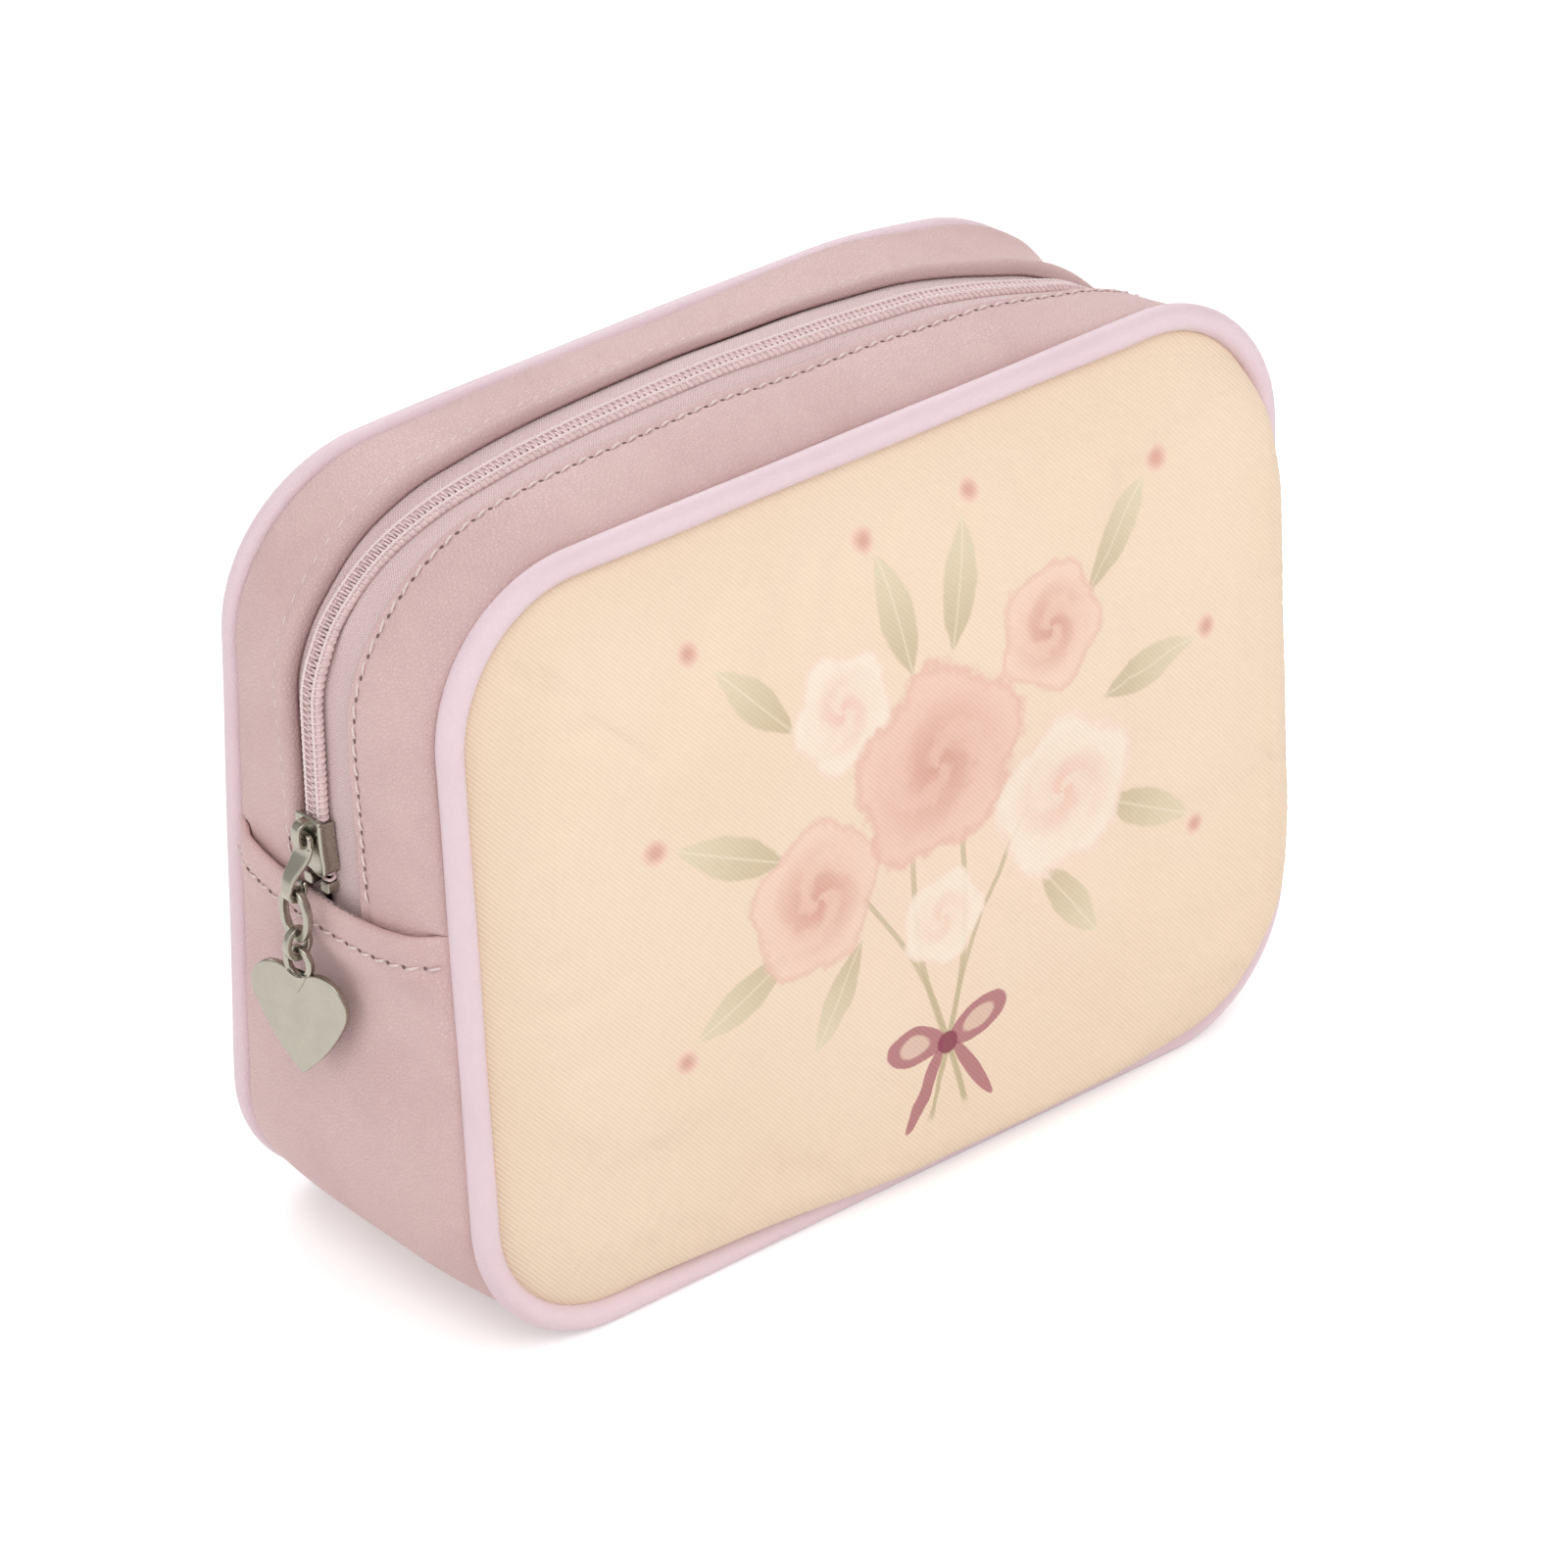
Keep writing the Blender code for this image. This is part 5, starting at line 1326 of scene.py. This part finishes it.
SLIDER_PLACE = (-107.6, 2.0, 103.5)
HINGE_RISE, HINGE_OUT = 2.6, 3.75
RING_HINGE = (-114.0, 2.0, 94.9)
RING_HALF = (3.8, 5.2)
RING_BAND, RING_DEPTH = 1.44, 1.7
LINK_PLACE = (-114.0, 2.0, 83.17)
LINK_HALF = (2.5, 3.0)
LINK_BAND, LINK_DEPTH = 1.3, 1.7
CHARM_PLACE = (-114.0, 2.0, 80.17)
CHARM_TURN = radians(14)
CHARM_THICKNESS = 1.5
BAIL_MIDDLE = -1.3
BAIL_HALF = (2.8, 3.1)
BAIL_BAND = 1.4
LOBE_RISE = -9.0
LOBE_RADIUS = 6.3
LOBE_OFFSET = 5.3
TIP_DROP = 17.0
HEART_SIDE_RADIUS = 42.0


def facing(place, turn=0.0):
    """Across, up and out of the bag's left side at a place, turned about the upright."""
    axes = Matrix(((0, 0, -1, 0), (1, 0, 0, 0), (0, 1, 0, 0), (0, 0, 0, 1)))
    axes = Matrix.Rotation(turn, 4, "Z") @ axes
    axes.translation = place
    return np.array(axes)


def into(axes, *places):
    """Points from places across, up and out; a single number holds for all of them."""
    return np.stack(np.broadcast_arrays(*places), -1) @ axes[:3, :3].T + axes[:3, 3]


def slab(name, axes, outline, low, high, ease, body, *nodes, steps=4):
    """A plate with eased edges; outline in across and up, low and high along the way out."""
    before, after = np.roll(outline, 1, 0), np.roll(outline, -1, 0)
    area = (outline[:, 0] * after[:, 1] - after[:, 0] * outline[:, 1]).sum()
    normal = unit((after - before)[:, ::-1] * (1, -1)) * np.sign(area)
    turn = np.linspace(0, pi / 2, steps)
    insets, rises = ease * (1 - np.cos(turn)), ease * np.sin(turn)
    rings = [(ease * 2, low), *zip(insets[::-1], low + ease - rises[::-1]),
             *zip(insets, high - ease + rises), (ease * 2, high)]
    points = np.array([into(axes, *(outline - normal * inset).T, level) for inset, level in rings])
    skin(name, points, "nickel", *nodes, body=body)


def band(name, line, across, half_width, half_thickness, body, *nodes, closed=False, groove=0.0,
         square=0.42):
    """A flat strap along a line of points; across is the direction of its width."""
    ahead = unit(np.roll(line, -1, 0) - np.roll(line, 1, 0) if closed
                 else np.gradient(line, axis=0))
    across = np.broadcast_to(np.asarray(across, float), line.shape)
    normal = np.cross(ahead, across)
    turn = circle(28, 0.5)[:, None]
    wide, thick = blunt(np.cos(turn), square), blunt(np.sin(turn), square)
    thick = thick * (1 - groove * np.exp(-(wide / 0.35) ** 2) * (thick > 0))
    half_width = np.broadcast_to(np.reshape(half_width, (-1, 1, 1)), (len(line), 1, 1))
    points = (line[:, None] + across[:, None] * half_width * wide
              + normal[:, None] * half_thickness * thick)
    skin(name, points, "nickel", *nodes, body=body, closed=closed)


def oval(half, count=72):
    return half[0] * np.cos(circle(count)), half[1] * np.sin(circle(count))


def mirrored(half):
    """A closed outline from its right half."""
    return np.concatenate([half, (half * (-1, 1))[-2:0:-1]])


def make_ring_and_link():
    y, z = oval(RING_HALF)
    x, y0, z0 = RING_HINGE
    line = np.stack([np.full(len(y), x), y0 + y, z0 - RING_HALF[1] + z], -1)
    band("oval_ring", line, (-1, 0, 0), RING_DEPTH / 2, RING_BAND / 2, "ring", "pull_ring",
         closed=True, groove=0.5)
    x, z = oval(LINK_HALF)
    line = np.array(LINK_PLACE) + np.stack([x, np.zeros(len(x)), z], -1)
    band("small_link", line, (0, -1, 0), LINK_DEPTH / 2, LINK_BAND / 2, "link", "connector_link",
         closed=True)


def heart_outline():
    """The right half from the notch over the lobe and down the full side, then mirrored."""
    reach = np.hypot(LOBE_OFFSET, TIP_DROP)
    span = HEART_SIDE_RADIUS - LOBE_RADIUS
    fold = np.arccos((reach ** 2 + span ** 2 - HEART_SIDE_RADIUS ** 2) / (2 * span * reach))
    start = pi - np.arccos(LOBE_OFFSET / LOBE_RADIUS)
    stop = np.arctan2(TIP_DROP, LOBE_OFFSET) - fold
    side_u, side_v = LOBE_OFFSET - span * cos(stop), -span * sin(stop)
    last = np.arctan2(-TIP_DROP - side_v, -side_u)
    lobe = np.linspace(start, stop, 44)
    side = np.linspace(stop, last, 26)[1:]
    u = np.concatenate([LOBE_OFFSET + LOBE_RADIUS * np.cos(lobe),
                        side_u + HEART_SIDE_RADIUS * np.cos(side)])
    v = np.concatenate([LOBE_RADIUS * np.sin(lobe), side_v + HEART_SIDE_RADIUS * np.sin(side)])
    half = np.stack([u, v + LOBE_RISE], -1)
    return mirrored(np.stack([u, v + LOBE_RISE], -1))


def make_charm():
    axes = facing(CHARM_PLACE, CHARM_TURN)
    half = CHARM_THICKNESS / 2
    slab("heart_plate", axes, heart_outline(), -half, half, 0.3, "charm", "heart_charm")
    u, v = oval(BAIL_HALF)
    band("heart_bail", into(axes, u, v + BAIL_MIDDLE, 0), axes[:3, 2], half * 0.9, BAIL_BAND / 2,
         "charm", closed=True)
    notch = LOBE_RISE + sqrt(LOBE_RADIUS ** 2 - LOBE_OFFSET ** 2)
    foot = BAIL_MIDDLE - BAIL_HALF[1]
    tab = rounded([(0, notch - 2.1), (1.5, notch + 0.2), (2.5, foot + 1.5), (1.5, foot + 0.9),
                   (0, foot + 0.4), (-1.5, foot + 0.9), (-2.5, foot + 1.5), (-1.5, notch + 0.2),
                   (0, notch - 2.1)], 2)[:-1]
    slab("heart_bail_foot", axes, tab, -half * 0.8, half + 0.22, 0.16, "charm")


def make_puller():
    """A tongue that tapers down, swings out and curls round the ring's top."""
    axes = facing(SLIDER_PLACE)
    hook = (RING_HINGE[2] - SLIDER_PLACE[2], SLIDER_PLACE[0] - RING_HINGE[0])
    curl = np.radians(np.linspace(25, -215, 26))
    around = np.stack([hook[0] + 1.95 * np.sin(curl), hook[1] + 1.95 * np.cos(curl)], -1)
    line = rounded([(HINGE_RISE - 1.2, HINGE_OUT), (HINGE_RISE - 3.2, HINGE_OUT + 0.1),
                    (HINGE_RISE - 5.2, HINGE_OUT + 0.9), (HINGE_RISE - 8.2, hook[1] + 1.3),
                    around[0]], 3)
    line = np.concatenate([line, around[1:]])
    width = np.interp(HINGE_RISE - line[:, 0], (1.2, 2.6, 5.0, 8.5, 11.5),
                      (2.6, 2.75, 2.45, 1.7, 1.25))
    width[-len(curl):] = np.minimum(width[-len(curl):], np.linspace(1.5, 1.15, len(curl)))
    band("puller_tongue", into(axes, 0, *line.T), (0, 1, 0), width, 0.5, "puller", "puller",
         square=0.5)
    eye = rounded([(-2.0, -2.6), (-2.05, -1.2), (-2.0, 0), (0, 0), (2.0, 0), (2.05, -1.2),
                   (2.0, -2.6)], 3) + (0, HINGE_RISE)
    band("puller_eye", into(axes, *eye.T, HINGE_OUT), axes[:3, 2], 0.62, 0.6, "puller", square=0.7)


def make_slider():
    """Two plates, a flange along each edge, the post between the rows, and the bridge."""
    axes = facing(SLIDER_PLACE)
    outline = mirrored(rounded([(0, 6.0), (2.6, 6.0), (3.85, 5.6), (3.85, 3.0), (4.2, -0.5),
                                (4.8, -3.6), (4.75, -5.3), (3.2, -6.0), (1.6, -5.7),
                                (0.0, -5.0)], 3))
    slab("slider_top_plate", axes, outline, 1.6, 2.8, 0.45, "slider", "slider_body")
    slab("slider_low_plate", axes, outline, -3.5, -2.3, 0.4, "slider")
    edge = rounded([(3.75, 5.2), (3.8, 3.0), (4.15, -0.5), (4.7, -3.6), (4.6, -5.0)], 3)
    wall = np.concatenate([edge, (edge - (0.8, 0))[::-1]])
    for label, face in FACES:
        slab(f"slider_{label}_flange", axes, wall * (face, 1), -1.0, 2.2, 0.18, "slider")
    post = rounded([(0, 1.2), (0.55, 0.2), (1.0, -2.4), (0.9, -4.2), (0, -4.6), (-0.9, -4.2),
                    (-1.0, -2.4), (-0.55, 0.2), (0, 1.2)], 3)[:-1]
    slab("slider_post", axes, post, -2.6, 1.9, 0.1, "slider")
    bridge = rounded([(-0.1, 2.3), (0.1, 4.2), (0.8, 5.3), (2.6, 5.45), (4.4, 5.3), (5.1, 4.2),
                      (5.3, 2.3)], 3)
    band("slider_bridge", into(axes, 0, *bridge.T), (0, 1, 0), 1.2, 0.5, "slider", square=0.5)


make_ring_and_link()
make_charm()
make_puller()
make_slider()

for node in ("front_top_stop", "back_top_stop", "bottom_stop"):
    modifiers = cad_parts[node].modifiers
    modifiers.new("joined corners", "WELD").merge_threshold = 0.01 * MM
    eased = modifiers.new("eased", "BEVEL")
    eased.width = 0.25 * MM
    eased.segments = 3
    eased.limit_method = "ANGLE"
    eased.angle_limit = radians(30)


# Floor, light and camera


AMBIENT = 0.57
AMBIENT_DARK = 0.14
FLOOR_TONE = 0.93
FLOOR_GLOW = 0.30
FLOOR_HALF = 6.0


def make_floor():
    """A pale floor that reads as white and keeps the bag's shadow."""
    look = Look("floor", 1.0, Base_Color=(FLOOR_TONE,) * 3 + (1,), Specular_IOR_Level=0.0,
                Emission_Color=(1, 1, 1, 1))
    look.give("Emission Strength", look.rays("Camera", "Glossy", "Transmission") * FLOOR_GLOW)
    mesh = bpy.data.meshes.new("floor")
    mesh.from_pydata([(x * FLOOR_HALF, y * FLOOR_HALF, 0) for x, y in
                      ((-1, -1), (1, -1), (1, 1), (-1, 1))], [], [(0, 1, 2, 3)])
    mesh.materials.append(look.material)
    floor = bpy.data.objects.new("floor", mesh)
    bpy.context.scene.collection.objects.link(floor)


def make_world():
    """Even light from all round; what metal mirrors of it darkens towards the right."""
    world = bpy.data.worlds.new("studio")
    bpy.context.scene.world = world
    world.use_nodes = True
    nodes = Nodes(world.node_tree)
    background = world.node_tree.nodes["Background"].inputs
    background["Color"].default_value = (1, 1, 1, 1)
    dusk = nodes.node("ShaderNodeMapRange", {
        "Value": nodes.split(nodes.place("Generated"))[0], "From Min": -0.5, "From Max": 0.45,
        "To Min": AMBIENT, "To Max": AMBIENT_DARK})
    shine = nodes.node("ShaderNodeMix", {0: nodes.rays("Glossy"), 2: AMBIENT, 3: dusk})
    nodes.put(background["Strength"], nodes.node(
        "ShaderNodeMix", {0: nodes.rays("Camera", "Transmission"), 2: shine, 3: 1.0}))


# Each lamp: name, place, what it faces, width and height in metres, watts
LAMPS = (
    ("key", (-0.55, -0.75, 1.25), (0, 0, 0.08), (0.9, 0.9), 8.0),
    ("fill", (1.0, -1.3, 0.48), (0, 0, 0.08), (1.2, 1.0), 5.7),
    ("left", (-1.3, 0.1, 0.6), (0, 0, 0.08), (1.0, 1.0), 2.6),
    ("rear", (0.7, 1.05, 0.95), (0, 0, 0.14), (1.3, 0.9), 9.5),
)


def make_lamp(name, place, target, size, power):
    data = bpy.data.lights.new(name, "AREA")
    data.shape = "RECTANGLE"
    data.size, data.size_y = size
    data.energy = power
    lamp = bpy.data.objects.new(name, data)
    lamp.location = place
    lamp.rotation_euler = (Vector(target) - Vector(place)).to_track_quat("-Z", "Y").to_euler()
    bpy.context.scene.collection.objects.link(lamp)


make_floor()
make_world()
for lamp in LAMPS:
    make_lamp(*lamp)

CAMERA_AZIMUTH = radians(-39.643)
CAMERA_ELEVATION = radians(30.373)
CAMERA_ROLL = radians(-1.077)
CAMERA_DISTANCE = 1550.96
CAMERA_TARGET = Vector((4.806, 0.0, 73.206))
CAMERA_LENS = 179.49
SENSOR = 36.0


def make_camera():
    data = bpy.data.cameras.new("camera")
    data.sensor_width = SENSOR
    data.lens = CAMERA_LENS
    data.clip_start, data.clip_end = 0.05, 50
    back = Vector((sin(CAMERA_AZIMUTH) * cos(CAMERA_ELEVATION),
                   -cos(CAMERA_AZIMUTH) * cos(CAMERA_ELEVATION), sin(CAMERA_ELEVATION)))
    right = Vector((cos(CAMERA_AZIMUTH), sin(CAMERA_AZIMUTH), 0))
    up = back.cross(right)
    across = right * cos(CAMERA_ROLL) + up * sin(CAMERA_ROLL)
    upward = up * cos(CAMERA_ROLL) - right * sin(CAMERA_ROLL)
    matrix = Matrix((across, upward, back)).transposed().to_4x4()
    matrix.translation = (CAMERA_TARGET + back * CAMERA_DISTANCE) * MM
    camera = bpy.data.objects.new("camera", data)
    camera.matrix_world = matrix
    bpy.context.scene.collection.objects.link(camera)
    bpy.context.scene.camera = camera


make_camera()
bpy.context.scene.view_settings.view_transform = "Standard"
